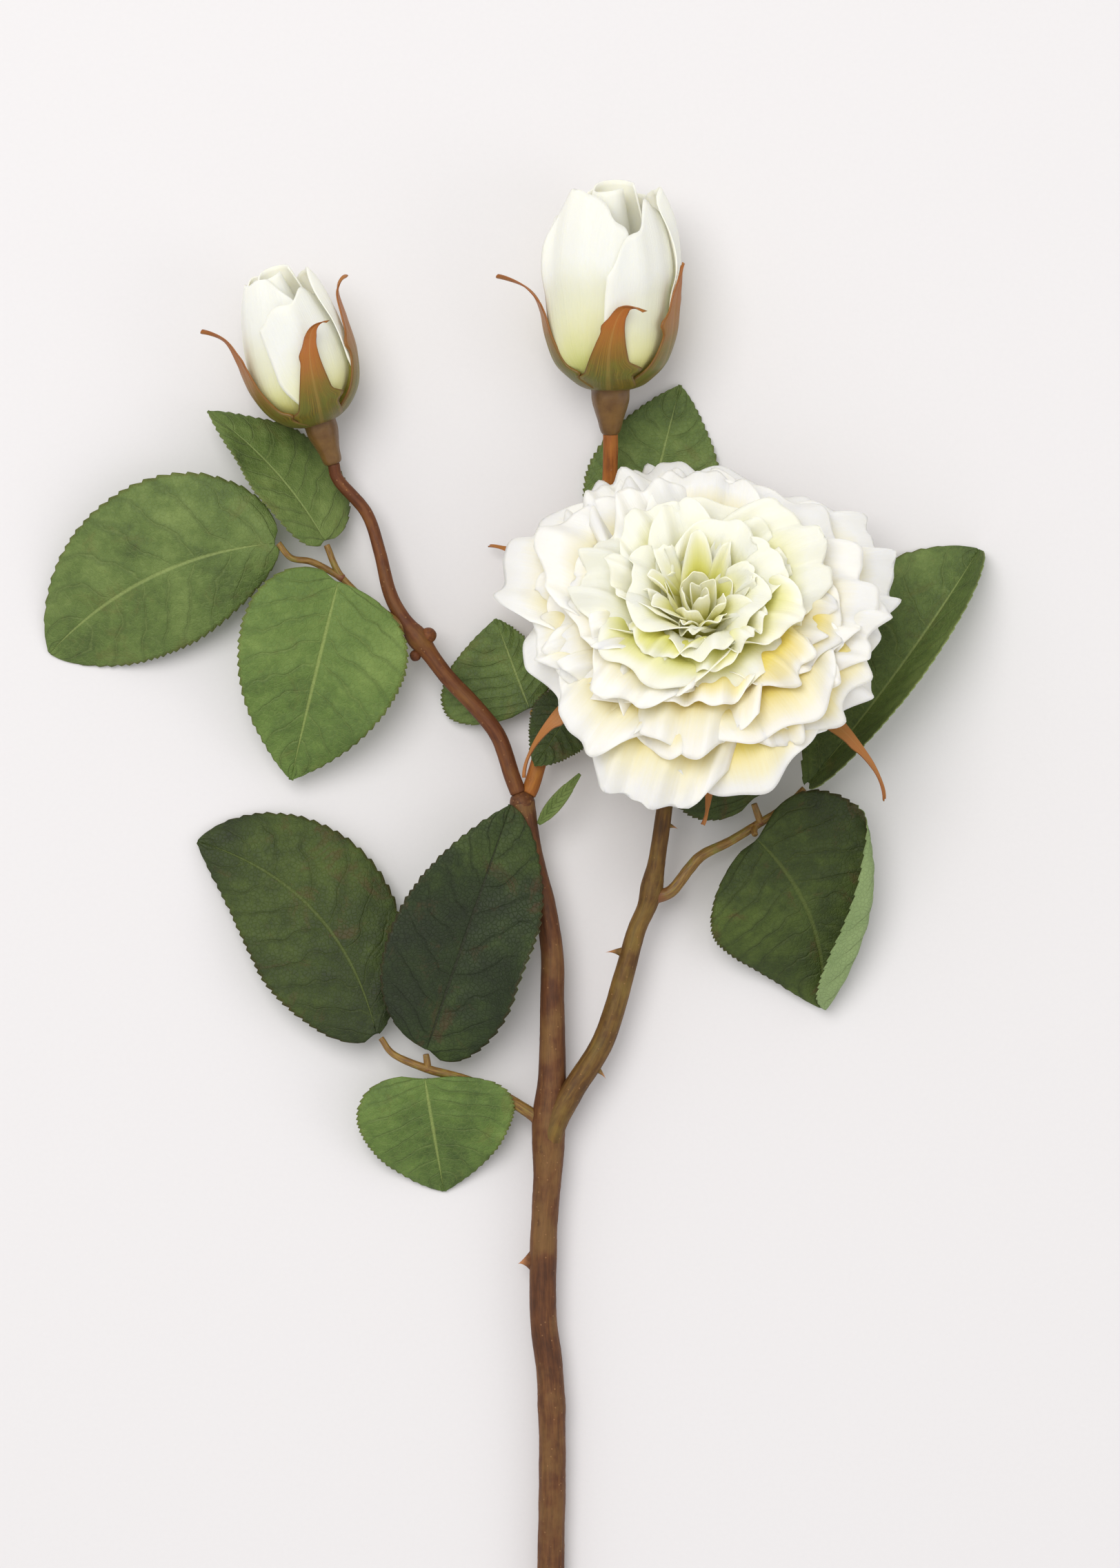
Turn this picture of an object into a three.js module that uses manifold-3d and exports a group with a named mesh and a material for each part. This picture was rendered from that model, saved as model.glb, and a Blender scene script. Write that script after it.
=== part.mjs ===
// A cut garden rose lying on its back on a flat surface: one open bloom and two buds on a forked
// cane, with leaves. Millimetres, +Z up, +Y from the cut end towards the buds.
// Places are given in a plan of the spray whose zero is near the middle of the upper cane; the last
// lines move the whole rose so that the middle of its underside is the origin.
import * as THREE from "three";
import { mergeVertices } from "three/addons/utils/BufferGeometryUtils.js";
import Module from "manifold-3d";

const wasm = await Module();
wasm.setup();

// ---- Driving dimensions ----

const GAP = 0.3; // clearance between pieces that touch

const CANE_BELOW_FORK = 152; // from the first fork to the cut end
const CANE_RADIUS = 3.5; // at the cut end
const SHOOT_RADIUS = 2.1; // the thin part of each flowering shoot
const STALK_RADIUS = 1.0; // leaf stalks
const PRICKLE_LENGTH = 3.4; // how far a prickle stands out of the bark

const LEAF_LENGTH = 66; // the longest leaflets are about this long
const LEAF_THICKNESS = 0.8;

const BLOOM_RADIUS = 52; // reach of the outermost petals
const BLOOM_LEAN = 28; // degrees that the bloom leans towards the buds
const BLOOM_SEAT_HEIGHT = 0.54 * BLOOM_RADIUS; // the petals' seat above the surface
const PETAL_THICKNESS = 0.7;
const PETAL_LAP = 1.5; // each petal lies this far above and below its neighbours' laps

const LEFT_BUD_RADIUS = 12.8; // the petals' belly, without the sepals
const LEFT_BUD_LENGTH = 40;
const RIGHT_BUD_RADIUS = 15.1;
const RIGHT_BUD_LENGTH = 52;
const BUD_PITCH = 12; // degrees that a bud's tip is lifted off the surface

const SEPAL_THICKNESS = 0.9;
const HIP_RADIUS = { bloom: 5.2, left: 4.2, right: 5.0 };
const SEAT_RADIUS = 10; // the flat seat that carries the bloom's petals

// ---- Finishes ----

function finish(color, roughness) {
  return new THREE.MeshStandardMaterial({ color, roughness, metalness: 0, side: THREE.DoubleSide });
}
const bark = () => finish(0x5a3720, 0.6);
const greenStalk = () => finish(0x8a7a2a, 0.55);
const upperLeaf = () => finish(0x5f7836, 0.6);
const darkLeaf = () => finish(0x39451c, 0.55);
const sepalSkin = () => finish(0x8a6420, 0.6);
const outerPetal = () => finish(0xf6f5ee, 0.7);
const innerPetal = () => finish(0xf1ecc0, 0.7);

// ---- Small helpers ----

const radians = THREE.MathUtils.degToRad;
const point = (x, y, z) => new THREE.Vector3(x, y, z);

function smoothstep(x) {
  const t = Math.min(1, Math.max(0, x));
  return t * t * (3 - 2 * t);
}

// A bell of height 1 round the middle, for swellings along a limb.
function bell(t, middle, width) {
  return Math.exp(-(((t - middle) / width) ** 2));
}

// A repeatable small variation between -1 and 1 for the n-th petal.
function vary(n, kind) {
  return Math.sin(n * 2.399 + kind * 1.713);
}

function weld(geometry) {
  geometry.deleteAttribute("normal");
  geometry.deleteAttribute("uv");
  geometry.clearGroups();
  return mergeVertices(geometry, 1e-4);
}

function solidOf(geometry) {
  const welded = geometry.index ? geometry : weld(geometry);
  return new wasm.Manifold(
    new wasm.Mesh({
      numProp: 3,
      vertProperties: new Float32Array(welded.attributes.position.array),
      triVerts: new Uint32Array(welded.index.array),
    }),
  );
}

function geometryOf(solid) {
  const mesh = solid.getMesh();
  const geometry = new THREE.BufferGeometry();
  geometry.setAttribute("position", new THREE.BufferAttribute(mesh.vertProperties, 3));
  geometry.setIndex(new THREE.BufferAttribute(mesh.triVerts, 1));
  return geometry;
}

function joined(geometries) {
  const [first, ...others] = geometries.map(solidOf);
  return geometryOf(others.reduce((whole, next) => whole.add(next), first));
}

function cutBy(geometry, cutters) {
  const solid = solidOf(geometry);
  return geometryOf(cutters.map(solidOf).reduce((left, cutter) => left.subtract(cutter), solid));
}

function piece(name, geometry, material, parent) {
  const mesh = new THREE.Mesh(geometry, material);
  mesh.name = name;
  parent.add(mesh);
  return mesh;
}

// ---- The three basic forms: a round limb, a thin sheet, and the surfaces that sheets follow ----

function routeThrough(points) {
  return new THREE.CatmullRomCurve3(points.map((p) => point(...p)), false, "catmullrom", 0.5);
}

// A closed cylinder bent along a route, with its radius set by radiusAt(t) from end to end.
function limb(route, radiusAt, sides, steps) {
  const rod = weld(new THREE.CylinderGeometry(1, 1, 1, sides, steps));
  const frames = route.computeFrenetFrames(steps, false);
  const place = rod.attributes.position;
  for (let i = 0; i < place.count; i++) {
    const step = Math.round((place.getY(i) + 0.5) * steps);
    const radius = radiusAt(step / steps);
    const to = route
      .getPointAt(step / steps)
      .addScaledVector(frames.normals[step], place.getX(i) * radius)
      .addScaledVector(frames.binormals[step], -place.getZ(i) * radius);
    place.setXYZ(i, to.x, to.y, to.z);
  }
  return rod;
}

// A flat box bent onto surface(u, v), u from 0 to 1 and v from -1 to 1, with its thickness set
// along the surface's own normal. Where the sheet narrows to a few thicknesses, as at a foot or a
// tip, the whole width takes the normal of its middle, so that the two faces can't cross.
function sheet(surface, thickness, uSteps, vSteps) {
  const box = weld(new THREE.BoxGeometry(1, 2, 1, uSteps, vSteps, 1));
  const place = box.attributes.position;
  const nudge = 1e-3;
  const normalAt = (u, v) => {
    const alongU = surface(Math.min(1, u + nudge), v).sub(surface(Math.max(0, u - nudge), v));
    const alongV = surface(u, Math.min(1, v + nudge)).sub(surface(u, Math.max(-1, v - nudge)));
    return alongU.cross(alongV).normalize();
  };
  const widthAt = (u) => {
    let width = 0;
    for (let n = 0; n < vSteps; n++) {
      width += surface(u, (2 * n) / vSteps - 1).distanceTo(surface(u, (2 * n + 2) / vSteps - 1));
    }
    return width;
  };
  for (let i = 0; i < place.count; i++) {
    const u = place.getX(i) + 0.5;
    const v = place.getY(i);
    const narrow = widthAt(u) < 4 * thickness;
    const to = surface(u, v).addScaledVector(normalAt(u, narrow ? 0 : v), place.getZ(i) * thickness);
    place.setXYZ(i, to.x, to.y, to.z);
  }
  return box;
}

// A blade along a midrib: the leaflets and the bract. Each half leaves the midrib at its fold angle
// and bends by its cup angle on the way to the margin; a cup may change along the midrib. The left
// half may be turned up and over along a line that is turnedAt(u) away from the midrib.
const TURN_RADIUS = 1.6;
const TURN_ANGLE = 160;
function bladeSurface(blade) {
  const { midrib, up, halfWidth, fold = [0, 0], cup = [0, 0], shoulder = [0, 0], turnedAt } = blade;
  return (u, v) => {
    const side = v < 0 ? 1 : 0;
    const across = Math.abs(v);
    const forward = midrib.getTangent(u).normalize();
    const left = new THREE.Vector3().crossVectors(up, forward).normalize();
    const above = new THREE.Vector3().crossVectors(forward, left);
    const width = halfWidth(u, v);
    const start = radians(fold[side]);
    const bend = radians(typeof cup[side] === "function" ? cup[side](u) : cup[side]) || 1e-4;
    let out = (width * (Math.sin(start + bend * across) - Math.sin(start))) / bend;
    let lift = (width * (Math.cos(start) - Math.cos(start + bend * across))) / bend;
    const beyond = turnedAt && side === 0 ? width * across - turnedAt(u) : 0;
    if (beyond > 0) {
      const flat = width * across - beyond;
      const turn = Math.min(beyond / TURN_RADIUS, radians(TURN_ANGLE));
      const rest = beyond - turn * TURN_RADIUS;
      out = flat * Math.cos(start) + TURN_RADIUS * Math.sin(turn) + rest * Math.cos(turn);
      lift = flat * Math.sin(start) + TURN_RADIUS * (1 - Math.cos(turn)) + rest * Math.sin(turn);
    }
    return midrib
      .getPoint(u)
      .addScaledVector(forward, -shoulder[side] * across * across * u ** 0.3 * (1 - u) ** 4)
      .addScaledVector(left, v < 0 ? -out : out)
      .addScaledVector(above, lift);
  };
}

// The outline of a leaflet's half along its midrib: how soon it swells and how soon it closes.
function outline(u, [swell, close]) {
  const widest = swell / (swell + close);
  const most = widest ** swell * (1 - widest) ** close;
  return Math.max(0.03, (u ** swell * (1 - u) ** close) / most);
}

// A petal in its flower's frame, centred over +X. The profile is a curve of radius and height from
// the seat to the tip; the petal wraps round the flower's axis at each radius. One edge laps above
// the next petal and the other edge below it.
function petalSurface(petal) {
  const { profile, halfWidth, claw, reach = 1, lap = PETAL_LAP, crown = 0.22, least = 0.5 } = petal;
  return (u, v) => {
    const t = Math.min(1, u * reach * (1 - crown * Math.abs(v) ** 2.6));
    const at = profile.getPoint(t);
    const along = profile.getTangent(t);
    const offset = lap * v * Math.min(1, u / 0.3);
    const radius = Math.max(0.4, at.x - along.y * offset);
    const height = at.y + along.x * offset;
    const width = halfWidth * (claw + (1 - claw) * smoothstep(u / 0.7));
    const angle = (v * width) / Math.max(radius, least);
    return point(radius * Math.cos(angle), radius * Math.sin(angle), height);
  };
}

const bezier = (points) =>
  new THREE.CubicBezierCurve(...points.map(([r, h]) => new THREE.Vector2(r, h)));

const spline = (points) => new THREE.SplineCurve(points.map(([r, h]) => new THREE.Vector2(r, h)));

// ---- Where the flowers sit ----

// The petals' outline in shares of a bud's radius and length, from the hip to the tip, and how far
// the sepals lie outside it.
const LEFT_BUD_FORM = [
  [0.62, 0.06],
  [0.93, 0.2],
  [1, 0.36],
  [0.93, 0.6],
  [0.75, 0.82],
  [0.52, 0.98],
];
const RIGHT_BUD_FORM = [
  [0.6, 0.05],
  [0.9, 0.15],
  [1, 0.27],
  [1.05, 0.45],
  [1.1, 0.6],
  [0.95, 0.8],
  [0.66, 0.97],
];
const SEPAL_STAND_OFF = PETAL_THICKNESS + 1.55;

// The height of a bud's seat that rests its sepals on the surface.
function restingHeight(form, radius, length) {
  const pitch = radians(BUD_PITCH);
  const outside = SEPAL_STAND_OFF + SEPAL_THICKNESS / 2;
  return Math.max(
    ...form.map(([r, h]) => (r * radius + outside) * Math.cos(pitch) - h * length * Math.sin(pitch)),
  );
}

const bloomPlace = {
  seat: point(35.6, 36.4, BLOOM_SEAT_HEIGHT),
  heading: 0,
  pitch: 90 - BLOOM_LEAN,
  hipLength: 12.6,
};
const leftBudPlace = {
  seat: point(-62.8, 95.2, restingHeight(LEFT_BUD_FORM, LEFT_BUD_RADIUS, LEFT_BUD_LENGTH)),
  heading: 18,
  pitch: BUD_PITCH,
  hipLength: 12.5,
};
const rightBudPlace = {
  seat: point(13.1, 103.8, restingHeight(RIGHT_BUD_FORM, RIGHT_BUD_RADIUS, RIGHT_BUD_LENGTH)),
  heading: 0,
  pitch: BUD_PITCH,
  hipLength: 13,
};

// A point on a flower's axis, the given distance behind the foot of its hip.
function behindHip({ seat, heading, pitch, hipLength }, distance) {
  const axis = point(0, Math.cos(radians(pitch)), Math.sin(radians(pitch)));
  axis.applyAxisAngle(point(0, 0, 1), radians(heading));
  return seat.clone().addScaledVector(axis, -hipLength - distance).toArray();
}

// ---- Cane and flowering shoots ----

const FORK = [-2.9, -87.6, 7.5]; // first fork, where the bloom's shoot leaves the cane
const SECOND_FORK = [-9.8, -5, 10.5]; // where the two buds' shoots part

// The lower cane's bends: share of the way to the cut end, and sideways place.
const caneBends = [
  [1, -3.2],
  [0.77, -2.4],
  [0.55, -2],
  [0.43, -2.7],
  [0.34, -4.3],
  [0.21, -4.3],
  [0.09, -3.2],
];
const caneRoute = routeThrough([
  ...caneBends.map(([share, x]) => [
    x,
    FORK[1] - share * CANE_BELOW_FORK,
    CANE_RADIUS + (1 - share) * (FORK[2] - CANE_RADIUS),
  ]),
  FORK,
  [-2.1, -75.8, 8],
  [-2, -56.1, 8.6],
  [-2.1, -43.5, 9],
  [-4, -31, 9.4],
  [-6.7, -20.2, 9.8],
  SECOND_FORK,
]);
const caneForkAt = 0.64; // share of the cane's length at the first fork
function caneRadiusAt(t) {
  const above = smoothstep((t - caneForkAt) / (1 - caneForkAt));
  return (
    CANE_RADIUS * (1 - 0.28 * above) +
    0.9 * bell(t, caneForkAt, 0.045) +
    0.7 * bell(t, 1, 0.03)
  );
}

const bloomShootRoute = routeThrough([
  [-2.9, -84, 8],
  [4.6, -77.4, 8.8],
  [11.5, -66.8, 9.2],
  [16.6, -50, 9.5],
  [19.9, -38.1, 9.8],
  [23.2, -30, 10],
  [26, -14.9, 9.6],
  [28, -1, 9],
  [30.6, 11, 8.2],
  [33.6, 20.6, 8],
  behindHip(bloomPlace, 6),
  behindHip(bloomPlace, GAP),
]);
const bloomNodeAt = 0.5; // share of the shoot's length at its leaf node
const bloomShootRadiusAt = (t) =>
  SHOOT_RADIUS + 1.1 * (1 - smoothstep(t / 0.75)) + 0.7 * bell(t, bloomNodeAt, 0.03);

const leftShootRoute = routeThrough([
  SECOND_FORK,
  [-12.6, 2.4, 10.8],
  [-16, 12.3, 11],
  [-21.8, 19.9, 11.2],
  [-28.9, 27.4, 11.3],
  [-35.8, 36.4, 11.3],
  [-41, 43.4, 10.6],
  [-44.4, 50, 9.8],
  [-46.9, 60.3, 9.2],
  [-50.4, 70.6, 8.6],
  behindHip(leftBudPlace, 5),
  behindHip(leftBudPlace, GAP),
]);
const leftNodeAt = 0.5;
const leftShootRadiusAt = (t) =>
  SHOOT_RADIUS - 0.5 * smoothstep((t - 0.4) / 0.4) + 0.9 * bell(t, leftNodeAt, 0.035);

const rightShootRoute = routeThrough([
  SECOND_FORK,
  [-7.6, -1, 9.8],
  [-5.3, 6.4, 9],
  [-2.7, 15.5, 8],
  [2.9, 33.4, 6.6],
  [7.9, 51.2, 5.6],
  [11.4, 65.5, 5.8],
  [12.7, 75, 7.6],
  behindHip(rightBudPlace, 6),
  behindHip(rightBudPlace, GAP),
]);
const rightShootRadiusAt = (t) => SHOOT_RADIUS - 0.15 * smoothstep(t);

// A prickle: a cone standing on the limb's own axis and leaning out through its bark.
function prickle(route, share, heading, radius, length) {
  const cone = weld(new THREE.ConeGeometry(radius * 0.62, radius + length, 7, 1));
  cone.translate(0, (radius + length) / 2, 0);
  cone.rotateZ(radians(heading - 90));
  const at = route.getPointAt(share);
  cone.translate(at.x, at.y, at.z);
  return cone;
}

const cane = limb(caneRoute, caneRadiusAt, 8, 28);

// The cane grown by the gap, which cuts the feet of the shoots and stalks that spring from it.
const caneClearance = limb(caneRoute, (t) => caneRadiusAt(t) + GAP, 8, 28);

const bloomShoot = limb(bloomShootRoute, bloomShootRadiusAt, 8, 24);
const bloomShootClearance = limb(bloomShootRoute, (t) => bloomShootRadiusAt(t) + GAP, 8, 24);
const leftShoot = limb(leftShootRoute, leftShootRadiusAt, 8, 24);
const leftShootClearance = limb(leftShootRoute, (t) => leftShootRadiusAt(t) + GAP, 8, 24);
const rightShoot = limb(rightShootRoute, rightShootRadiusAt, 8, 18);
const rightShootClearance = limb(rightShootRoute, (t) => rightShootRadiusAt(t) + GAP, 8, 18);

// The cane ends in a rounded knob at the second fork, so the two upper shoots are cut by a sphere too.
function knobAt([x, y, z], radius) {
  const ball = weld(new THREE.IcosahedronGeometry(radius, 1));
  ball.translate(x, y, z);
  return ball;
}
const forkKnobRadius = 3.3;
const forkKnob = knobAt(SECOND_FORK, forkKnobRadius);
const forkKnobClearance = knobAt(SECOND_FORK, forkKnobRadius + GAP);

const rose = new THREE.Group();

piece(
  "main_stem",
  joined([
    cane,
    forkKnob,
    prickle(caneRoute, 0.118, -12, CANE_RADIUS, PRICKLE_LENGTH * 0.45),
    prickle(caneRoute, 0.49, 186, CANE_RADIUS, PRICKLE_LENGTH),
  ]),
  bark(),
  rose,
);
piece(
  "bloom_shoot",
  cutBy(
    joined([
      bloomShoot,
      prickle(bloomShootRoute, 0.13, -62, 3, PRICKLE_LENGTH),
      prickle(bloomShootRoute, 0.37, 176, 2.6, PRICKLE_LENGTH * 1.1),
      prickle(bloomShootRoute, 0.64, 8, 2.3, PRICKLE_LENGTH * 0.6),
    ]),
    [caneClearance],
  ),
  bark(),
  rose,
);
piece(
  "left_bud_shoot",
  cutBy(
    joined([leftShoot, knobAt([-34.2, 38.6, 11.6], 2.1), knobAt([-37.6, 33.4, 11], 1.5)]),
    [caneClearance, forkKnobClearance],
  ),
  bark(),
  rose,
);
piece(
  "right_bud_shoot",
  cutBy(rightShoot, [caneClearance, forkKnobClearance, leftShootClearance]),
  bark(),
  rose,
);

// ---- Leaf stalks ----

const stalkTaper = (thick, thin) => (t) => STALK_RADIUS * (thick + (thin - thick) * t);

// A stalk with its side branches grown together, cut clear of the stem that carries it.
function leafStalk(name, routes, cutters) {
  const limbs = routes.map(({ points, thick = 1.3, thin = 0.8, steps = 7 }) =>
    limb(routeThrough(points), stalkTaper(thick, thin), 6, steps),
  );
  piece(name, cutBy(joined(limbs), cutters), greenStalk(), rose);
}

leafStalk(
  "leaf_a_stalk",
  [
    {
      points: [
        [-36.4, 36.6, 11.3],
        [-43, 42.5, 11.4],
        [-50.5, 47.6, 11.8],
        [-57.2, 54.4, 12.6],
        [-60.6, 62, 12.8],
      ],
    },
    {
      points: [[-56.4, 53.4, 12.5], [-64, 57.5, 13.4], [-69.6, 58.6, 14.2], [-73, 62.4, 14.6]],
      thick: 0.9,
    },
  ],
  [leftShootClearance, knobAt([-37.6, 33.4, 11], 1.5 + GAP)],
);
leafStalk(
  "leaf_b_stalk",
  [
    {
      points: [
        [-4, -88.6, 7.4],
        [-12, -83, 8],
        [-23.6, -77.4, 8.8],
        [-35, -74, 9.6],
        [-43.2, -70.4, 9.6],
        [-46.6, -66.2, 9.4],
      ],
      thick: 1.7,
      steps: 10,
    },
    { points: [[-34.4, -74.4, 9.5], [-34.6, -72.4, 9.8], [-34.9, -70.4, 10]], thick: 1, steps: 3 },
  ],
  [caneClearance],
);
leafStalk(
  "leaf_c_stalk",
  [{ points: [[9.6, 58, 5.5], [13, 58, 4.2], [17, 58.6, 3], [19.8, 59.8, 2.4]], steps: 4 }],
  [rightShootClearance],
);
leafStalk(
  "leaf_d_stalk",
  [
    { points: [[-1.4, 19, 8], [-3.4, 18.4, 9.4], [-5.6, 18.2, 8.6], [-7.4, 18.8, 7.6]], steps: 5 },
    { points: [[-3, 18.4, 9], [-1, 20, 10.2], [2, 22, 11], [4.4, 22.6, 11.2]], thick: 0.9, steps: 4 },
  ],
  [rightShootClearance],
);
leafStalk(
  "leaf_e_stalk",
  [
    {
      points: [
        [23.6, -29.4, 10],
        [29, -27.8, 10.3],
        [33.6, -22, 10.6],
        [37.2, -18.4, 11],
        [44.3, -14.8, 11.4],
        [51.5, -10.4, 11.8],
        [58.6, -5.9, 12],
        [63.4, -1.2, 12],
      ],
      thick: 1.7,
      steps: 12,
    },
    { points: [[52.2, -10.2, 11.8], [51.2, -7.6, 12.6], [50.4, -5.2, 13]], thick: 1, steps: 3 },
    { points: [[50.6, -11, 11.7], [50.4, -12.2, 12.8], [50.6, -13.2, 13.6]], thick: 1, steps: 3 },
  ],
  [bloomShootClearance],
);

// ---- Leaflets ----

// A leaflet from its foot, by heading in the plan, flat length, the rise of its tip, how far its
// midrib bows to the left and arches up, and the roll that turns its left side up.
function leafletSurface(leaf) {
  const heading = radians(leaf.heading);
  const ahead = point(Math.cos(heading), Math.sin(heading), 0);
  const leftward = point(-Math.sin(heading), Math.cos(heading), 0);
  const foot = point(...leaf.foot).addScaledVector(ahead, GAP + 0.5);
  const tip = foot.clone().addScaledVector(ahead, leaf.length * LEAF_LENGTH);
  tip.z += leaf.rise;
  const bend = foot.clone().add(tip).multiplyScalar(0.5);
  bend.addScaledVector(leftward, 2 * (leaf.bow ?? 0));
  bend.z += 2 * (leaf.arch ?? 0);
  const midrib = new THREE.QuadraticBezierCurve3(foot, bend, tip);
  const up = point(0, 0, 1).applyAxisAngle(ahead, radians(leaf.roll ?? 0));
  const [left, right] = leaf.width;
  const form = leaf.form ?? [[0.5, 0.9], [0.5, 0.9]];
  const shoulder = leaf.shoulder ?? [0.1, 0.1];
  return bladeSurface({
    midrib,
    up,
    halfWidth: (u, v) => (v < 0 ? right : left) * LEAF_LENGTH * outline(u, form[v < 0 ? 1 : 0]),
    fold: leaf.fold,
    cup: leaf.cup,
    shoulder: shoulder.map((back) => back * leaf.length * LEAF_LENGTH),
    turnedAt: leaf.turnedAt,
  });
}

const leaflets = {
  leaf_a_left: {
    foot: [-73.2, 62.8, 14.4],
    heading: 205.2,
    length: 1,
    rise: -13.9,
    width: [0.31, 0.36],
    form: [[0.7, 0.6], [0.6, 0.8]],
    bow: -6,
    arch: 3,
    fold: [-4, 10],
    cup: [-14, -22],
  },
  leaf_a_top: {
    foot: [-60.7, 62.6, 12.8],
    heading: 132.1,
    length: 0.69,
    rise: -3.6,
    width: [0.15, 0.25],
    bow: -2.5,
    arch: 1,
    roll: 42,
    fold: [8, 8],
    cup: [-10, -8],
  },
  leaf_a_front: {
    foot: [-57.3, 53.2, 15.6],
    heading: 256.1,
    length: 0.8,
    rise: -9,
    width: [0.345, 0.33],
    arch: 3.4,
    shoulder: [-0.03, 0.2],
    fold: [7, 12],
    cup: [-12, -14],
  },
  leaf_b_left: {
    foot: [-47.2, -65.6, 9.6],
    heading: 133.3,
    length: 1.04,
    rise: -8,
    width: [0.325, 0.305],
    form: [[0.55, 0.8], [0.9, 0.75]],
    shoulder: [0.13, 0.05],
    bow: -10,
    arch: 3,
    fold: [6, 3],
    cup: [-12, -26],
  },
  leaf_b_top: {
    foot: [-35, -69.8, 10.2],
    heading: 71 + 0.4 * (LEAF_LENGTH - 66),
    length: 1.02,
    rise: 3.8,
    width: [0.29, 0.28],
    form: [[0.5, 0.9], [0.45, 0.62]],
    shoulder: [-0.03, 0.14],
    arch: 1.6,
    fold: [12, 4],
    cup: [-14, (u) => 44 * bell(u, 0.42, 0.2) - 12],
  },
  leaf_b_front: {
    foot: [-35.3, -75.8, 11.6],
    heading: -81,
    length: 0.46,
    rise: -11,
    width: [0.33, 0.29],
    form: [[0.42, 0.85], [0.42, 0.8]],
    shoulder: [-0.05, 0.22],
    arch: 1.6,
    fold: [8, 8],
    cup: [-12, -22],
  },
  leaf_c: {
    foot: [20.2, 60.2, 2.4],
    heading: 75.7,
    length: 0.68,
    rise: -1.2,
    width: [0.27, 0.26],
    fold: [2, 2],
    cup: [-3, -3],
  },
  leaf_d_left: {
    foot: [-7.6, 19, 7.5],
    heading: 110.7,
    length: 0.38,
    rise: -3,
    width: [0.33, 0.11],
    fold: [-6, 3],
    cup: [-9, -6],
  },
  leaf_d_right: {
    foot: [5.4, 23, 12.8],
    heading: 237,
    length: 0.32,
    rise: 0.4,
    width: [0.13, 0.13],
    fold: [3, 3],
    cup: [-6, -6],
  },
  leaf_e_right: {
    foot: [64.2, -0.4, 12.1],
    heading: 53.6,
    length: 1.15,
    rise: -11.5,
    width: [0.35, 0.24],
    form: [[1, 0.7], [0.5, 0.5]],
    bow: -1.5,
    arch: 3,
    roll: -12,
    fold: [6, 46],
    cup: [-8, 26],
  },
  leaf_e_front: {
    foot: [50.7, -13.6, 13.8],
    heading: -68.4,
    length: 0.72,
    rise: -11,
    width: [0.4, 0.385],
    form: [[0.35, 0.6], [0.5, 0.75]],
    shoulder: [0.2, 0.1],
    bow: 5.6,
    arch: 2.6,
    fold: [4, 6],
    cup: [-8, -22],
    turnedAt: (u) => LEAF_LENGTH * (0.479 - 0.49 * u),
    across: 20,
  },
  leaf_e_back: {
    foot: [50.3, -4.8, 13.1],
    heading: 128,
    length: 0.5,
    rise: 3,
    width: [0.24, 0.24],
    arch: 0.5,
    fold: [5, 5],
    cup: [-8, -8],
  },
};
const darkLeaflets = ["leaf_b_left", "leaf_b_top", "leaf_e_front", "leaf_e_back", "leaf_d_right"];
for (const [name, leaf] of Object.entries(leaflets)) {
  const material = darkLeaflets.includes(name) ? darkLeaf() : upperLeaf();
  piece(name, sheet(leafletSurface(leaf), LEAF_THICKNESS, 10, leaf.across ?? 4), material, rose);
}

// The bract: a short folded leaf without a stalk, at the second fork.
const bractFoot = point(-5.6, -10.4, 10.6);
const bractTip = point(5.2, 2.6, 13);
const bractSurface = bladeSurface({
  midrib: new THREE.LineCurve3(bractFoot, bractTip),
  up: point(0, 0, 1),
  halfWidth: (u) => 0.5 + 1.3 * Math.sin(Math.PI * u ** 0.8),
  fold: [28, 28],
});
piece("bract", cutBy(sheet(bractSurface, LEAF_THICKNESS, 5, 2), [caneClearance]), greenStalk(), rose);

// ---- Flowers ----

// A flower's group: its seat in the plan, with its local +Z along the flower's axis.
function flowerGroup({ seat, heading, pitch }) {
  const group = new THREE.Group();
  group.position.copy(seat);
  group.rotation.order = "ZXY";
  group.rotation.set(radians(pitch - 90), 0, radians(heading));
  rose.add(group);
  return group;
}

const bloom = flowerGroup(bloomPlace);
const leftBud = flowerGroup(leftBudPlace);
const rightBud = flowerGroup(rightBudPlace);

// A sepal in its flower's frame, centred over +X, whose tip hooks sideways.
function sepalSurface({ profile, halfWidth, hook = 0 }) {
  return (u, v) => {
    const at = profile.getPoint(u);
    const width = halfWidth * Math.max(0.1, (1 - u) ** 0.8 * (0.55 + 0.9 * Math.sin(Math.PI * u ** 0.7)));
    const across = v * width;
    const angle = across / Math.max(at.x, width * 1.2);
    return point(at.x * Math.cos(angle), at.x * Math.sin(angle) + hook * u ** 4, at.y);
  };
}

// A profile of radius and height turned round the flower's own axis.
function turned(profile, sides) {
  const lathe = weld(new THREE.LatheGeometry(profile.map(([r, h]) => new THREE.Vector2(r, h)), sides));
  lathe.rotateX(Math.PI / 2);
  return lathe;
}

// The hip and its five sepals, grown as one piece.
function calyx(name, group, { hip, sepals }) {
  const body = turned(hip, 12);
  const parts = sepals.map(({ angle, profile, halfWidth, hook }) => {
    const sepal = sheet(sepalSurface({ profile: spline(profile), halfWidth, hook }), SEPAL_THICKNESS, 9, 4);
    sepal.rotateZ(radians(angle));
    return sepal;
  });
  piece(name, joined([body, ...parts]), sepalSkin(), group);
}

// ---- Bloom ----

const share = BLOOM_RADIUS / 52; // the petals' profiles are drawn for a reach of 52
const scaled = (points) => points.map(([r, h], i) => (i ? [r * share, h * share] : [r, h]));

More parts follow.
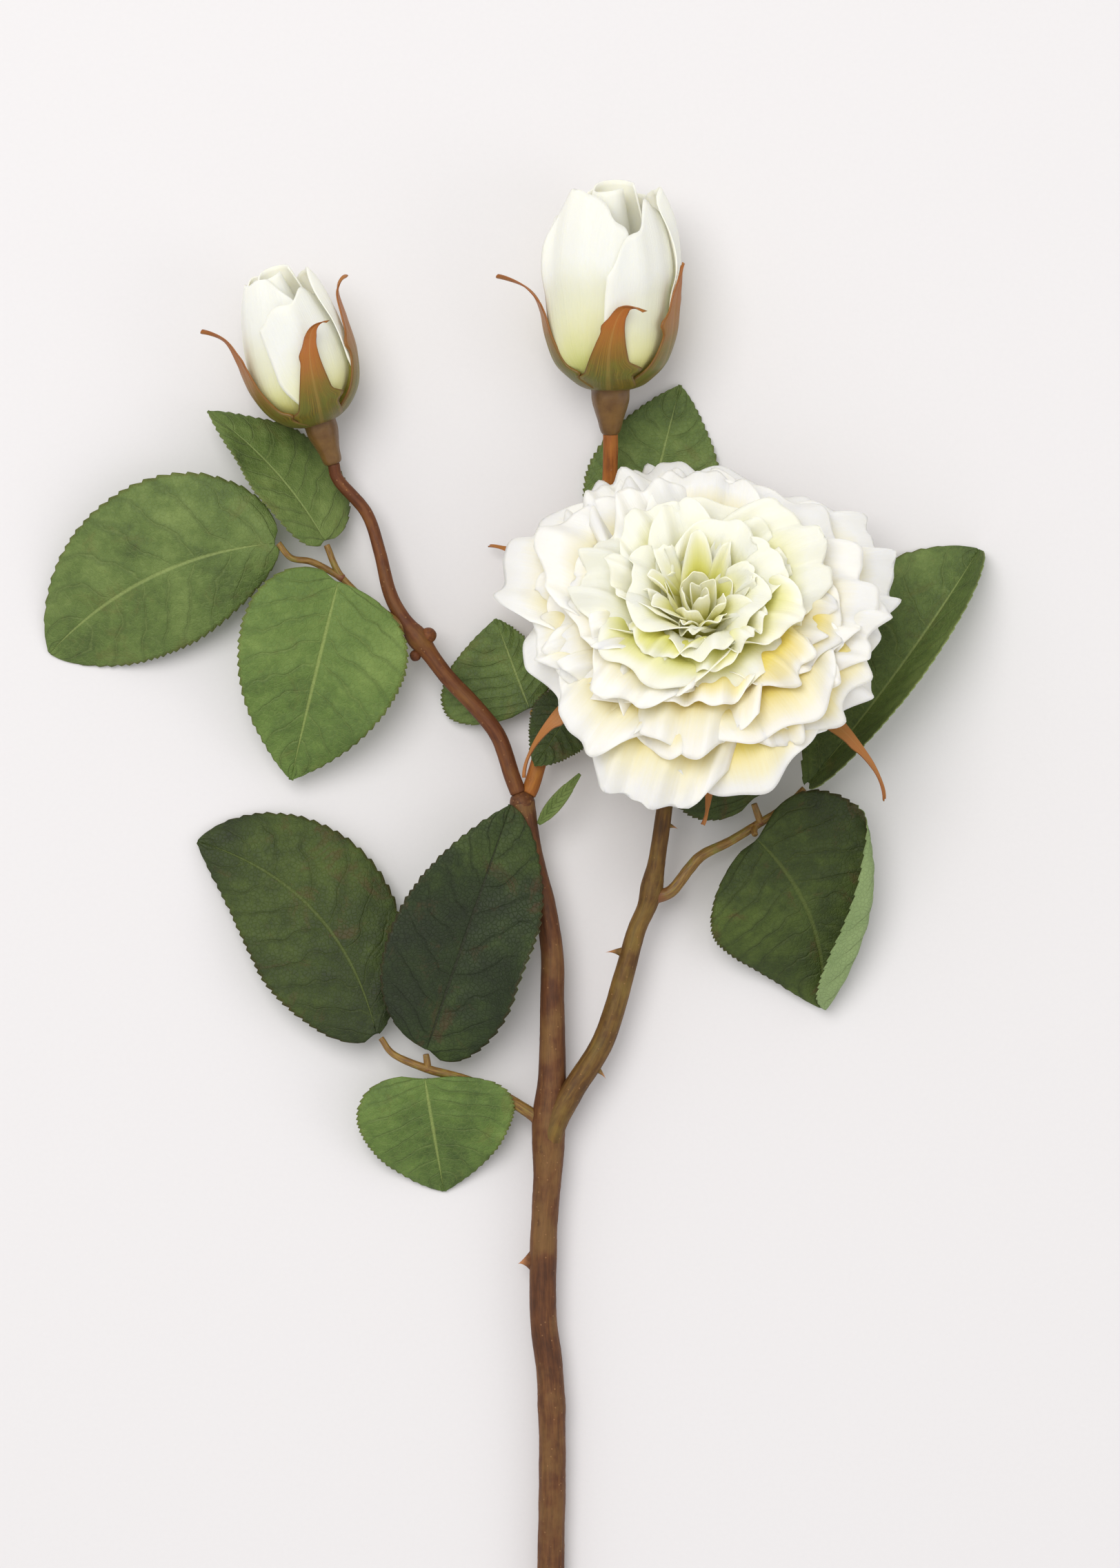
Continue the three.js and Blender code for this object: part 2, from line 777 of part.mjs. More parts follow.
const bloomSepals = [
  { angle: 145, hook: 3, reach: 1.12, drop: 4 },
  { angle: 203, hook: 12, reach: 0.95, drop: 7 },
  { angle: 276, hook: -4, reach: 0.8, drop: 8 },
  { angle: 332, hook: -11, reach: 1.04, drop: 9 },
  { angle: 72, hook: 2, reach: 0.78, drop: 0 },
];
calyx("bloom_calyx", bloom, {
  hip: [
    [0, -bloomPlace.hipLength],
    [SHOOT_RADIUS + 0.2, -bloomPlace.hipLength],
    [HIP_RADIUS.bloom * 0.8, -10],
    [HIP_RADIUS.bloom, -6.5],
    [HIP_RADIUS.bloom * 0.86, -3],
    [SEAT_RADIUS, -1.4],
    [SEAT_RADIUS, 0],
    [0, 0.2],
  ],
  sepals: bloomSepals.map(({ angle, hook, reach, drop }) => ({
    angle,
    hook,
    halfWidth: 4.6,
    profile: [
      [6.5, -1.1],
      [16, -2.2],
      [30 * reach * share, -3 - 0.2 * drop],
      [44 * reach * share, -4 - 0.5 * drop],
      [57 * reach * share, -5 - drop],
    ],
  })),
});

// The heart of a flower: one petal rolled round itself, from its foot on the seat to its tip.
function rolledHeart({ foot, radius, length, turns, swell }) {
  return (u, v) => {
    const turn = (v + 1) / 2;
    const loose = radius * (1 - 0.62 * turn);
    const tight = foot * (1 - 0.7 * turn);
    const wrap = tight + (loose - tight) * swell(u);
    const angle = turn * turns * 2 * Math.PI;
    const height = 0.9 + u * (length - 0.9) * (1 - 0.06 * turn);
    return point(wrap * Math.cos(angle), wrap * Math.sin(angle), height);
  };
}

const bloomHeart = rolledHeart({
  foot: 1.9,
  radius: 6 * share,
  length: 31 * share,
  turns: 1.3,
  swell: (u) => smoothstep((u - 0.35) / 0.65),
});
piece("bloom_heart", sheet(bloomHeart, PETAL_THICKNESS, 5, 14), innerPetal(), bloom);

const whorls = [
  {
    name: "bloom_inner_whorl",
    count: 4,
    start: 30,
    halfWidth: 9,
    claw: 0.16,
    lap: 0.95,
    collar: [2.9, 3.9],
    profile: [[3.4, 1.4], [4.2, 14], [7, 28], [14, 35]],
  },
  {
    name: "bloom_middle_whorl",
    count: 5,
    start: 5,
    halfWidth: 13,
    claw: 0.13,
    lap: 1,
    collar: [4.5, 5.5],
    profile: [[5, 1.3], [8.2, 15], [12, 32], [23, 34]],
  },
];
for (const whorl of whorls) {
  const petals = [];
  const profile = bezier(scaled(whorl.profile));
  for (let n = 0; n < whorl.count; n++) {
    const surface = petalSurface({
      ...whorl,
      profile,
      halfWidth: whorl.halfWidth * share,
      reach: 0.94 + 0.06 * vary(n, whorl.count),
    });
    const petal = sheet(surface, PETAL_THICKNESS, 5, 4);
    petal.rotateZ(radians(whorl.start + (360 * n) / whorl.count));
    petals.push(petal);
  }
  const [inner, outer] = whorl.collar;
  const foot = whorl.profile[0][1];
  const low = foot - 0.5;
  const high = foot + 0.8;
  petals.push(turned([[inner, low], [outer, low], [outer, high], [inner, high], [inner, low]], 14));
  piece(whorl.name, joined(petals), innerPetal(), bloom);
}

const rings = [
  {
    name: "bloom_inner_petal",
    start: 20,
    angles: [0, 73, 143, 216, 288],
    halfWidth: 20,
    claw: 0.12,
    profile: [[6.6, 1.2], [12, 13], [20, 34], [33, 27]],
  },
  {
    name: "bloom_middle_petal",
    start: 0,
    angles: [0, 52, 104, 154, 206, 257, 309],
    halfWidth: 21,
    claw: 0.1,
    profile: [[8, 1], [18, 13], [32, 28], [44, 18]],
  },
  {
    name: "bloom_outer_petal",
    start: 22,
    angles: [0, 45, 90, 135, 180, 225, 270, 315],
    halfWidth: 22,
    claw: 0.1,
    profile: [[9.4, 0.8], [24, 12], [40, 20], [52, 6]],
  },
];
for (const ring of rings) {
  const profile = bezier(scaled(ring.profile));
  ring.angles.forEach((angle, n) => {
    const surface = petalSurface({
      ...ring,
      profile,
      halfWidth: ring.halfWidth * share,
      reach: 0.95 + 0.05 * vary(n, ring.angles.length),
    });
    const solid = sheet(surface, PETAL_THICKNESS, 6, 5);
    const petal = piece(`${ring.name}_${n + 1}`, solid, outerPetal(), bloom);
    petal.rotation.z = radians(ring.start + angle);
  });
}

// ---- Buds ----

function bud(side, group, { form, radius, length, count, start, hip, sepals, lap }) {
  const profile = spline([
    [hip.radius * 0.95, 0.9],
    ...form.map(([r, h]) => [r * radius, h * length]),
  ]);
  const outside = (share, distance) => {
    const at = profile.getPointAt(share);
    const along = profile.getTangentAt(share);
    return [at.x + along.y * distance, at.y - along.x * distance];
  };
  calyx(`${side}_bud_calyx`, group, {
    hip: [
      [0, -hip.length],
      [SHOOT_RADIUS + 0.1, -hip.length],
      [hip.radius * 0.68, -hip.length * 0.72],
      [hip.radius, -hip.length * 0.34],
      [hip.radius * 0.88, -1.2],
      [hip.radius * 1.05, 0],
      [0, 0.2],
    ],
    sepals: sepals.map(({ angle, hook, spread, reach }) => ({
      angle,
      hook,
      halfWidth: radius * 0.5,
      profile: [
        [hip.radius * 0.5, -0.9],
        outside(0.08, SEPAL_STAND_OFF),
        ...[0.16, 0.25, 0.37, 0.52, 0.7].map((share, n) =>
          outside(share * reach, SEPAL_STAND_OFF + 0.2 + spread * (n / 4) ** 2),
        ),
      ],
    })),
  });
  for (let n = 0; n < count; n++) {
    const surface = petalSurface({
      profile,
      halfWidth: radius * ((Math.PI / count) * 1.4),
      claw: 0.1,
      reach: 0.93 + 0.07 * vary(n, count),
      lap,
      crown: 0.3,
      least: radius * 0.74,
    });
    const solid = sheet(surface, PETAL_THICKNESS, 9, 8);
    const petal = piece(`${side}_bud_petal_${n + 1}`, solid, outerPetal(), group);
    petal.rotation.z = radians(start + (360 * n) / count);
  }
  const heart = rolledHeart({
    foot: hip.radius * 0.95 - PETAL_THICKNESS - GAP,
    radius: radius * 0.7,
    length,
    turns: 1.5,
    swell: (u) => Math.sin(Math.PI * 0.88 * u ** 0.7),
  });
  piece(`${side}_bud_heart`, sheet(heart, PETAL_THICKNESS, 6, 16), innerPetal(), group);
}

bud("left", leftBud, {
  form: LEFT_BUD_FORM,
  radius: LEFT_BUD_RADIUS,
  length: LEFT_BUD_LENGTH,
  count: 4,
  start: -60,
  lap: PETAL_THICKNESS + 0.5,
  hip: { radius: HIP_RADIUS.left, length: leftBudPlace.hipLength },
  sepals: [
    { angle: -84, hook: 4, spread: 1, reach: 1 },
    { angle: -12, hook: 3, spread: 4, reach: 1.2 },
    { angle: 60, hook: 0, spread: 0, reach: 0.8 },
    { angle: 132, hook: 0, spread: 0, reach: 0.8 },
    { angle: 200, hook: 1, spread: 5, reach: 1.1 },
  ],
});
bud("right", rightBud, {
  form: RIGHT_BUD_FORM,
  radius: RIGHT_BUD_RADIUS,
  length: RIGHT_BUD_LENGTH,
  count: 5,
  start: -50,
  lap: PETAL_THICKNESS + 0.5,
  hip: { radius: HIP_RADIUS.right, length: rightBudPlace.hipLength },
  sepals: [
    { angle: -94, hook: 4, spread: 1, reach: 0.9 },
    { angle: -22, hook: 0, spread: 0.5, reach: 1 },
    { angle: 50, hook: 0, spread: 0, reach: 0.85 },
    { angle: 122, hook: 0, spread: 0, reach: 0.85 },
    { angle: 192, hook: 3, spread: 8, reach: 1.05 },
  ],
});

// ---- Stand the rose on the surface, with the middle of its underside at the origin ----

rose.updateMatrixWorld(true);
const extent = new THREE.Box3().setFromObject(rose, true);
const middle = extent.getCenter(new THREE.Vector3());
rose.position.set(-middle.x, -middle.y, -extent.min.z);

const whole = new THREE.Group();
whole.add(rose);

export default whole;
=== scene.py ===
from math import cos, exp, pi, radians, sin

import bmesh
import bpy
from mathutils import Matrix, Vector, noise


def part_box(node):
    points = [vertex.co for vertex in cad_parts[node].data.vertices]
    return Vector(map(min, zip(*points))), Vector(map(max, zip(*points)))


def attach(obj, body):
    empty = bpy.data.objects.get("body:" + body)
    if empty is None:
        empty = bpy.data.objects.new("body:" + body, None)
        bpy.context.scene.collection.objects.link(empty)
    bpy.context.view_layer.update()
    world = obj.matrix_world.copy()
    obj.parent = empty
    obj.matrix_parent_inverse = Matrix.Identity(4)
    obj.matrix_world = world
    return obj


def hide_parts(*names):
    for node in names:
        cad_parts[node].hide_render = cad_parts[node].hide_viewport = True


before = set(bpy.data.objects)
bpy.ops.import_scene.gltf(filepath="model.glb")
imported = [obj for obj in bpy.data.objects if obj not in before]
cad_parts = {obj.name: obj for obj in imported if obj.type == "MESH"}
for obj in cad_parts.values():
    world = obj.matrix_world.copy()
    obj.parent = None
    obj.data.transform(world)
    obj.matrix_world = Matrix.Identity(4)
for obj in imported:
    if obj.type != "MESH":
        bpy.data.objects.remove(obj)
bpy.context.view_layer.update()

# ---- The studio ----
# A wide pale table under a large overhead softbox, with a bright room round it. The rose lies on
# the table, so the camera hangs over the middle of the upper cane and looks straight down.

# The knob where the buds' shoots part reaches furthest left, back and up in the main stem.
KNOB = Vector((-9.8, -5, 10.5))
KNOB_RADIUS = 3.3
stem_low, stem_high = (Vector(corner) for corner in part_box("main_stem"))
plan_zero = Vector((
    stem_low.x - (KNOB.x - KNOB_RADIUS) * 0.001,
    stem_high.y - (KNOB.y + KNOB_RADIUS) * 0.001,
    stem_high.z - (KNOB.z + KNOB_RADIUS) * 0.001,
))
CAMERA_HEIGHT = 1.42
LENS = 124.4

lens = bpy.data.cameras.new("overhead_camera")
lens.lens = LENS
lens.sensor_width = 36
lens.clip_end = 10
camera = bpy.data.objects.new("overhead_camera", lens)
camera.location = (plan_zero.x, plan_zero.y, CAMERA_HEIGHT)
bpy.context.scene.collection.objects.link(camera)
bpy.context.scene.camera = camera


def softbox(name, place, size, power, color=(1, 1, 1)):
    panel = bpy.data.lights.new(name, "AREA")
    panel.shape = "DISK"
    panel.size = size
    panel.energy = power
    panel.color = color
    lamp = bpy.data.objects.new(name, panel)
    lamp.location = place
    lamp.rotation_euler = (-Vector(place)).to_track_quat("-Z", "Y").to_euler()
    bpy.context.scene.collection.objects.link(lamp)


softbox("overhead_softbox", (-0.5, 0.7, 1.9), 1.5, 25, (1, 0.985, 0.96))
softbox("side_softbox", (1.5, -0.3, 1.0), 1.0, 3)

room = bpy.data.worlds.new("studio_room")
room.use_nodes = True
room.node_tree.nodes["Background"].inputs["Color"].default_value = (1, 0.99, 0.975, 1)
room.node_tree.nodes["Background"].inputs["Strength"].default_value = 0.7
bpy.context.scene.world = room
bpy.context.scene.view_settings.view_transform = "Standard"


def rgb(red, green, blue):
    """A colour from 0 to 255, as light."""
    return tuple(((part / 255 + 0.055) / 1.055) ** 2.4 for part in (red, green, blue))


class Tone:
    """A socket in the material being made; sums and products of Tones add their Math nodes."""

    tree = None

    def __init__(self, socket):
        self.socket = socket

    @classmethod
    def node(cls, kind, settings=None, sockets=None, output=0):
        made = cls.tree.nodes.new(kind)
        for name, value in (settings or {}).items():
            if name == "stops":
                elements = made.color_ramp.elements
                while len(elements) < len(value):
                    elements.new(1)
                for element, (at, color) in zip(elements, value):
                    element.position = at
                    element.color = (*color, 1)
            else:
                setattr(made, name, value)
        for name, value in (sockets or {}).items():
            socket = made.inputs[name]
            if isinstance(value, Tone):
                cls.tree.links.new(value.socket, socket)
            elif isinstance(value, tuple) and len(value) == 3 and socket.type == "RGBA":
                socket.default_value = (*value, 1)
            else:
                socket.default_value = value
        return cls(made.outputs[output])

    def math(self, operation, *others):
        terms = {place: term for place, term in enumerate((self, *others))}
        return Tone.node("ShaderNodeMath", {"operation": operation}, terms)

    def __add__(self, other):
        return self.math("ADD", other)

    def __sub__(self, other):
        return self.math("SUBTRACT", other)

    def __rsub__(self, other):
        return Tone.node("ShaderNodeMath", {"operation": "SUBTRACT"}, {0: other, 1: self})

    def __mul__(self, other):
        return self.math("MULTIPLY", other)

    def __pow__(self, other):
        return self.math("POWER", other)

    def __abs__(self):
        return self.math("ABSOLUTE")

    __radd__ = __add__
    __rmul__ = __mul__

    def between(self, low, high):
        """0 at low and 1 at high, with a soft start and end."""
        settings = {"interpolation_type": "SMOOTHSTEP"}
        return Tone.node("ShaderNodeMapRange", settings, {"Value": self, "From Min": low, "From Max": high})

    def ramp(self, *stops):
        return Tone.node("ShaderNodeValToRGB", {"stops": stops}, {"Fac": self})

    def over(self, under, color):
        """This mask lays color over under."""
        settings = {"data_type": "RGBA"}
        return Tone.node("ShaderNodeMix", settings, {0: self, 6: under, 7: color}, output=2)

    @classmethod
    def grown(cls, name):
        """The three numbers that a piece's mesh carries under that name, and the vector itself."""
        vector = cls.node("ShaderNodeAttribute", {"attribute_name": name}, output=1)
        parts = [cls.node("ShaderNodeSeparateXYZ", None, {0: vector}, output=n) for n in range(3)]
        return (*parts, vector)

    @classmethod
    def speckle(cls, vector, scale, stretch=(1, 1, 1), detail=3, rough=0.55, warp=0):
        """Soft noise round 0.5, finer for a larger scale and drawn out where stretch is small."""
        drawn = cls.node("ShaderNodeVectorMath", {"operation": "MULTIPLY"}, {0: vector, 1: stretch})
        settings = {"Vector": drawn, "Scale": scale, "Detail": detail, "Roughness": rough, "Distortion": warp}
        return cls.node("ShaderNodeTexNoise", None, settings)


def material(name):
    made = bpy.data.materials.new(name)
    made.use_nodes = True
    Tone.tree = made.node_tree
    return made


def dressed(made, color, roughness, relief=None, depth=0.0002, painted_glow=None, **constants):
    """Feeds what changes over the surface to the shader, and sets the rest on its own sockets."""
    shader = made.node_tree.nodes["Principled BSDF"]
    feeds = {"Base Color": color, "Roughness": roughness}
    if relief is not None:
        feeds["Normal"] = Tone.node("ShaderNodeBump", None, {"Height": relief, "Distance": depth})
    # A painted glow: a colour fed here shines from the surface as emission, though the piece is no lamp.
    if painted_glow is not None:
        feeds["Emission Color"] = painted_glow
    for name, value in feeds.items():
        if isinstance(value, Tone):
            made.node_tree.links.new(value.socket, shader.inputs[name])
        else:
            shader.inputs[name].default_value = value
    for name, value in constants.items():
        shader.inputs[name.replace("_", " ")].default_value = value
    return made


table_finish = material("pale_table")
paper = Tone.speckle(Tone.node("ShaderNodeTexCoord", None, None, output=3), 900)
dressed(table_finish, paper.ramp((0, rgb(222, 220, 222)), (1, rgb(225, 223, 225))), 0.85, paper, 0.00002)

table_mesh = bpy.data.meshes.new("table_top")
reach = 6
table_mesh.from_pydata(
    [(-reach, -reach, 0), (reach, -reach, 0), (reach, reach, 0), (-reach, reach, 0)], [], [(0, 1, 2, 3)]
)
table_mesh.materials.append(table_finish)
table_top = bpy.data.objects.new("table_top", table_mesh)
bpy.context.scene.collection.objects.link(table_top)

# ---- Main stem ----
# The cane: last year's woody growth, green under a thin reddish-brown bark, cut square with
# secateurs. It carries two prickles and ends in a knob where the buds' shoots part.


def smooth(x):
    t = min(1, max(0, x))
    return t * t * (3 - 2 * t)


def bell(t, middle, width):
    return exp(-(((t - middle) / width) ** 2))


def glide(before, start, end, after, w):
    """The place at w on the way from start to end, on a curve that passes both smoothly."""
    leave, arrive = (end - before) * 0.5, (after - start) * 0.5
    return (
        start
        + leave * w
        + (start * -3 + end * 3 - leave * 2 - arrive) * w**2
        + (start * 2 - end * 2 + leave + arrive) * w**3
    )


def curve_through(points, share):
    """The place on a smooth curve through the points, counted in spans."""
    spans = len(points) - 1
    at = min(max(share, 0) * spans, spans - 1e-9)
    span = int(at)
    w = at - span
    start, end = points[span], points[span + 1]
    before = points[span - 1] if span else start * 2 - end
    after = points[span + 2] if span + 2 <= spans else end * 2 - start
    return glide(before, start, end, after, w)


class Route:
    """A limb's middle line, measured out evenly along its length."""

    def __init__(self, points, samples=300):
        places = [Vector(p) for p in points]
        self.track = [curve_through(places, n / samples) for n in range(samples + 1)]
        self.miles = [0.0]
        for a, b in zip(self.track, self.track[1:]):
            self.miles.append(self.miles[-1] + (b - a).length)
        self.length = self.miles[-1]

    def at(self, share):
        if share <= 0:
            return self.track[0] + (self.track[1] - self.track[0]).normalized() * share * self.length
        mile = share * self.length
        low, high = 1, len(self.miles) - 1
        while low < high:
            n = (low + high) // 2
            if self.miles[n] < mile:
                low = n + 1
            else:
                high = n
        start, end = self.miles[low - 1], self.miles[low]
        return self.track[low - 1].lerp(self.track[low], (mile - start) / (end - start))

    def along(self, share):
        return (self.at(min(1, share + 0.004)) - self.at(share - 0.004)).normalized()


class Shape:
    """One piece's mesh as it grows. Each vertex carries its grain and its mark for the finish."""

    def __init__(self):
        self.verts, self.faces, self.grain, self.mark = [], [], [], []

    def point(self, place, grain, mark):
        self.verts.append(place)
        self.grain.append(grain)
        self.mark.append(mark)
        return len(self.verts) - 1

    def bridge(self, one, two, closed):
        count = len(one)
        for n in range(count if closed else count - 1):
            m = (n + 1) % count
            self.faces.append((one[n], one[m], two[m], two[n]))

    def fan(self, ring, centre):
        for n in range(len(ring)):
            self.faces.append((ring[n], ring[(n + 1) % len(ring)], centre))

    def close_round(self, rings, first, final):
        """A closed body through its rings, with a fan from a middle point over each end."""
        self.fan(rings[0], first)
        for one, two in zip(rings, rings[1:]):
            self.bridge(one, two, True)
        self.fan(rings[-1], final)

    def grow(self, node, finish):
        mesh = bpy.data.meshes.new("fresh_" + node)
        mesh.from_pydata([Vector(v) * 0.001 + plan_zero for v in self.verts], [], self.faces)
        for name, values in (("grain", self.grain), ("mark", self.mark)):
            layer = mesh.attributes.new(name, "FLOAT_VECTOR", "POINT")
            layer.data.foreach_set("vector", [part for value in values for part in value])
        work = bmesh.new()
        work.from_mesh(mesh)
        bmesh.ops.recalc_face_normals(work, faces=work.faces)
        work.to_mesh(mesh)
        work.free()
        mesh.shade_smooth()
        mesh.materials.append(finish)
        piece = bpy.data.objects.new("fresh_" + node, mesh)
        bpy.context.scene.collection.objects.link(piece)
        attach(piece, "root")
        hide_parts(node)


def add_limb(shape, route, radius_at, sides, pitch, rough=0.0, start=0.0, cut=0.0, seed=0.0):
    """A round limb along a route, from start on, with a rough skin and closed, softened ends."""
    steps = max(4, round(route.length * (1 - start) / pitch))
    side = Vector((0, 0, 1))
    rings, ends = [], []
    for step in range(-1, steps + 2):
        share = start + (1 - start) * min(max(step, 0), steps) / steps
        middle, forward = route.at(share), route.along(share)
        side = (side - forward * side.dot(forward)).normalized()
        other = forward.cross(side)
        mile = share * route.length
        radius = radius_at(share)
        tucked = step in (-1, steps + 1)
        if tucked:
            middle = middle + forward * (radius * 0.12 * (1 if step > 0 else -1))
            radius *= 0.9
        ring = []
        for n in range(sides):
            turn = 2 * pi * n / sides
            x, y = cos(turn), sin(turn)
            ripple = noise.noise(Vector((x * 1.4 + seed, y * 1.4, mile * 0.16)))
            ripple += 0.5 * noise.noise(Vector((x * 3.1, y * 3.1 + seed, mile * 0.7)))
            reach_out = radius * (1 + rough * ripple)
            place = middle + side * (x * reach_out) + other * (y * reach_out)
            ring.append(shape.point(place, (x * radius, y * radius, mile), (share, radius, 0)))
        if tucked:
            facing = cut if step < 0 else 0
            ends.append(shape.point(middle, (0, 0, mile), (share, 0, facing)))
            if facing:
                for n in ring:
                    shape.mark[n] = (share, radius, facing)
        rings.append(ring)
    shape.close_round(rings, *ends)


def add_prickle(shape, route, share, heading, radius, length, spread=1.7):
    """A rose prickle: a broad blade-like foot on the bark, drawn out to a point that dips back."""
    middle, forward = route.at(share), route.along(share)
    out = Vector((cos(radians(heading)), sin(radians(heading)), 0))
    out = (out - forward * out.dot(forward)).normalized()
    across = forward.cross(out)
    levels, sides = 9, 14
    rings = []
    for level in range(levels + 1):
        rise = level / levels
        width = (1 - rise) ** 1.5
        middle_here = middle + out * (radius * 0.75 + (length + radius * 0.25) * rise)
        middle_here = middle_here - forward * (0.34 * length * rise**2)
        ring = []
        for n in range(sides):
            turn = 2 * pi * n / sides
            place = middle_here + forward * (cos(turn) * length * 0.5 * spread * 0.55 * width)
            place = place + across * (sin(turn) * (radius * 0.42 * width + 0.06))
            ring.append(shape.point(place, tuple(place), (share, rise, -1)))
        rings.append(ring)
    foot = shape.point(middle, tuple(middle), (share, 0, -1))
    shape.close_round(rings, foot, shape.point(middle_here, tuple(middle_here), (share, 1, -1)))


def add_knob(shape, place, radius):
    """A rounded swelling of bark."""
    centre = Vector(place)
    mark = (1, radius, 0)
    levels, sides = 14, 22
    rings = []
    for level in range(1, levels):
        tilt = pi * level / levels
        ring = []
        for n in range(sides):
            turn = 2 * pi * n / sides
            way = Vector((sin(tilt) * cos(turn), cos(tilt), sin(tilt) * sin(turn)))
            bump = 1 + 0.05 * noise.noise(way * 2.2 + centre)
            spot = centre + way * radius * bump
            ring.append(shape.point(spot, tuple(spot), mark))
        rings.append(ring)
    ends = [shape.point(centre + Vector((0, far, 0)), tuple(place), mark) for far in (radius, -radius)]
    shape.close_round(rings, *ends)


def bark_finish(name, dark, warm, light, green):
    """Smooth young bark: softly streaked lengthways, with corky dots, worn flakes and green on one side."""
    made = material(name)
    x_side, _, _, grain = Tone.grown("grain")
    _, rise, kind, _ = Tone.grown("mark")
    streak = Tone.speckle(grain, 1.1, (1, 1, 0.12), detail=6, rough=0.6)
    cloud = Tone.speckle(grain, 0.07, (1, 1, 1), detail=4, rough=0.6)
    thread = Tone.speckle(grain, 5, (1, 1, 0.05), detail=3)
    tint = streak * 0.5 + cloud * 0.5
    color = tint.ramp((0.3, dark), (0.47, warm), (0.64, light))
    color = (x_side.between(0.5, 2.8) * cloud.between(0.42, 0.64) * 0.5).over(color, green)
    color = (thread.between(0.45, 0.75) * 0.25).over(color, dark)
    flake = Tone.speckle(grain, 0.42, (1, 1, 0.35), detail=5, rough=0.7)
    color = (flake.between(0.6, 0.7) * 0.4).over(color, dark)
    color = ((1 - flake.between(0.3, 0.38)) * 0.35).over(color, warm)
    dots = Tone.node("ShaderNodeTexVoronoi", {"feature": "F1"}, {"Vector": grain, "Scale": 0.5})
    cork = 1 - dots.between(0.06, 0.15)
    color = (cork * 0.5).over(color, rgb(164, 120, 78))
    point = (kind * -1).between(0.4, 0.9)
    color = (point * rise.between(0.2, 0.95)).over(color, rgb(186, 128, 84))
    fresh_cut = streak.ramp((0.3, rgb(190, 182, 124)), (0.7, rgb(222, 212, 166)))
    color = kind.between(0.4, 0.9).over(color, fresh_cut)
    relief = streak * 0.5 + thread * 0.2 + cork * 0.4 + flake * 0.3
    roughness = 0.5 + streak * 0.2
    return dressed(made, color, roughness, relief, 0.0002, Specular_IOR_Level=0.3)


old_bark = bark_finish("old_bark", rgb(54, 28, 14), rgb(92, 54, 28), rgb(122, 80, 44), rgb(118, 90, 48))

CANE_BELOW_FORK = 152
CANE_RADIUS = 3.5
PRICKLE_LENGTH = 3.4
GAP = 0.3
FORK = (-2.9, -87.6, 7.5)
FORK_AT = 0.64
CANE_BENDS = ((1, -3.2), (0.77, -2.4), (0.55, -2), (0.43, -2.7), (0.34, -4.3), (0.21, -4.3), (0.09, -3.2))

cane_route = Route([
    *(
        (x, FORK[1] - share * CANE_BELOW_FORK, CANE_RADIUS + (1 - share) * (FORK[2] - CANE_RADIUS))
        for share, x in CANE_BENDS
    ),
    FORK,
    (-2.1, -75.8, 8),
    (-2, -56.1, 8.6),
    (-2.1, -43.5, 9),
    (-4, -31, 9.4),
    (-6.7, -20.2, 9.8),
    tuple(KNOB),
])


def cane_radius(share):
    above = smooth((share - FORK_AT) / (1 - FORK_AT))
    swell = 0.9 * bell(share, FORK_AT, 0.045) + 0.7 * bell(share, 1, 0.03)
    return CANE_RADIUS * (1 - 0.28 * above) + swell + 0.22 * bell(share, 0.33, 0.012)


main_stem = Shape()
add_limb(main_stem, cane_route, cane_radius, 40, 0.8, rough=0.035, cut=1.0)
add_knob(main_stem, KNOB, KNOB_RADIUS)
add_prickle(main_stem, cane_route, 0.118, -12, CANE_RADIUS, PRICKLE_LENGTH * 0.6, spread=2.4)
add_prickle(main_stem, cane_route, 0.49, 186, CANE_RADIUS, PRICKLE_LENGTH * 0.9, spread=4.2)
main_stem.grow("main_stem", old_bark)

# ---- Where the flowers sit ----
# Each flower grows on the end of its shoot, round an axis of its own. The bloom looks up and leans
# towards the buds; the two buds lie with their bellies on the table and their tips a little up.

LEFT_BUD_RADIUS, LEFT_BUD_LENGTH = 12.8, 40
RIGHT_BUD_RADIUS, RIGHT_BUD_LENGTH = 15.1, 52
LEFT_BUD_FORM = ((0.62, 0.06), (0.93, 0.2), (1, 0.36), (0.93, 0.6), (0.75, 0.82), (0.52, 0.98))
RIGHT_BUD_FORM = ((0.6, 0.05), (0.9, 0.15), (1, 0.27), (1.05, 0.45), (1.1, 0.6), (0.95, 0.8), (0.66, 0.97))
BUD_PITCH = 12
SEPAL_STAND_OFF = 2.25


def resting_height(form, radius, length):
    pitch = radians(BUD_PITCH)
    return max((r * radius + SEPAL_STAND_OFF + 0.45) * cos(pitch) - h * length * sin(pitch) for r, h in form)


def flower_place(x, y, z, heading, pitch):
    turn = Matrix.Rotation(radians(heading), 4, "Z") @ Matrix.Rotation(radians(pitch - 90), 4, "X")
    return Matrix.Translation((x, y, z)) @ turn


bloom_place = flower_place(35.6, 36.4, 28, 0, 62)
left_rest = resting_height(LEFT_BUD_FORM, LEFT_BUD_RADIUS, LEFT_BUD_LENGTH)
right_rest = resting_height(RIGHT_BUD_FORM, RIGHT_BUD_RADIUS, RIGHT_BUD_LENGTH)
left_bud_place = flower_place(-62.8, 95.2, left_rest, 18, BUD_PITCH)
right_bud_place = flower_place(13.1, 103.8, right_rest, 0, BUD_PITCH)
BLOOM_HIP, LEFT_HIP, RIGHT_HIP = 12.6, 12.5, 13


def behind(place, hip_length, distance):
    return tuple(place @ Vector((0, 0, -hip_length - distance)))


# ---- Flowering shoots ----
# This year's growth: thinner, smoother and redder than the cane, with a swollen node wherever a
# leaf sits. Each springs from the side of the older wood and runs up into the hip of its flower.

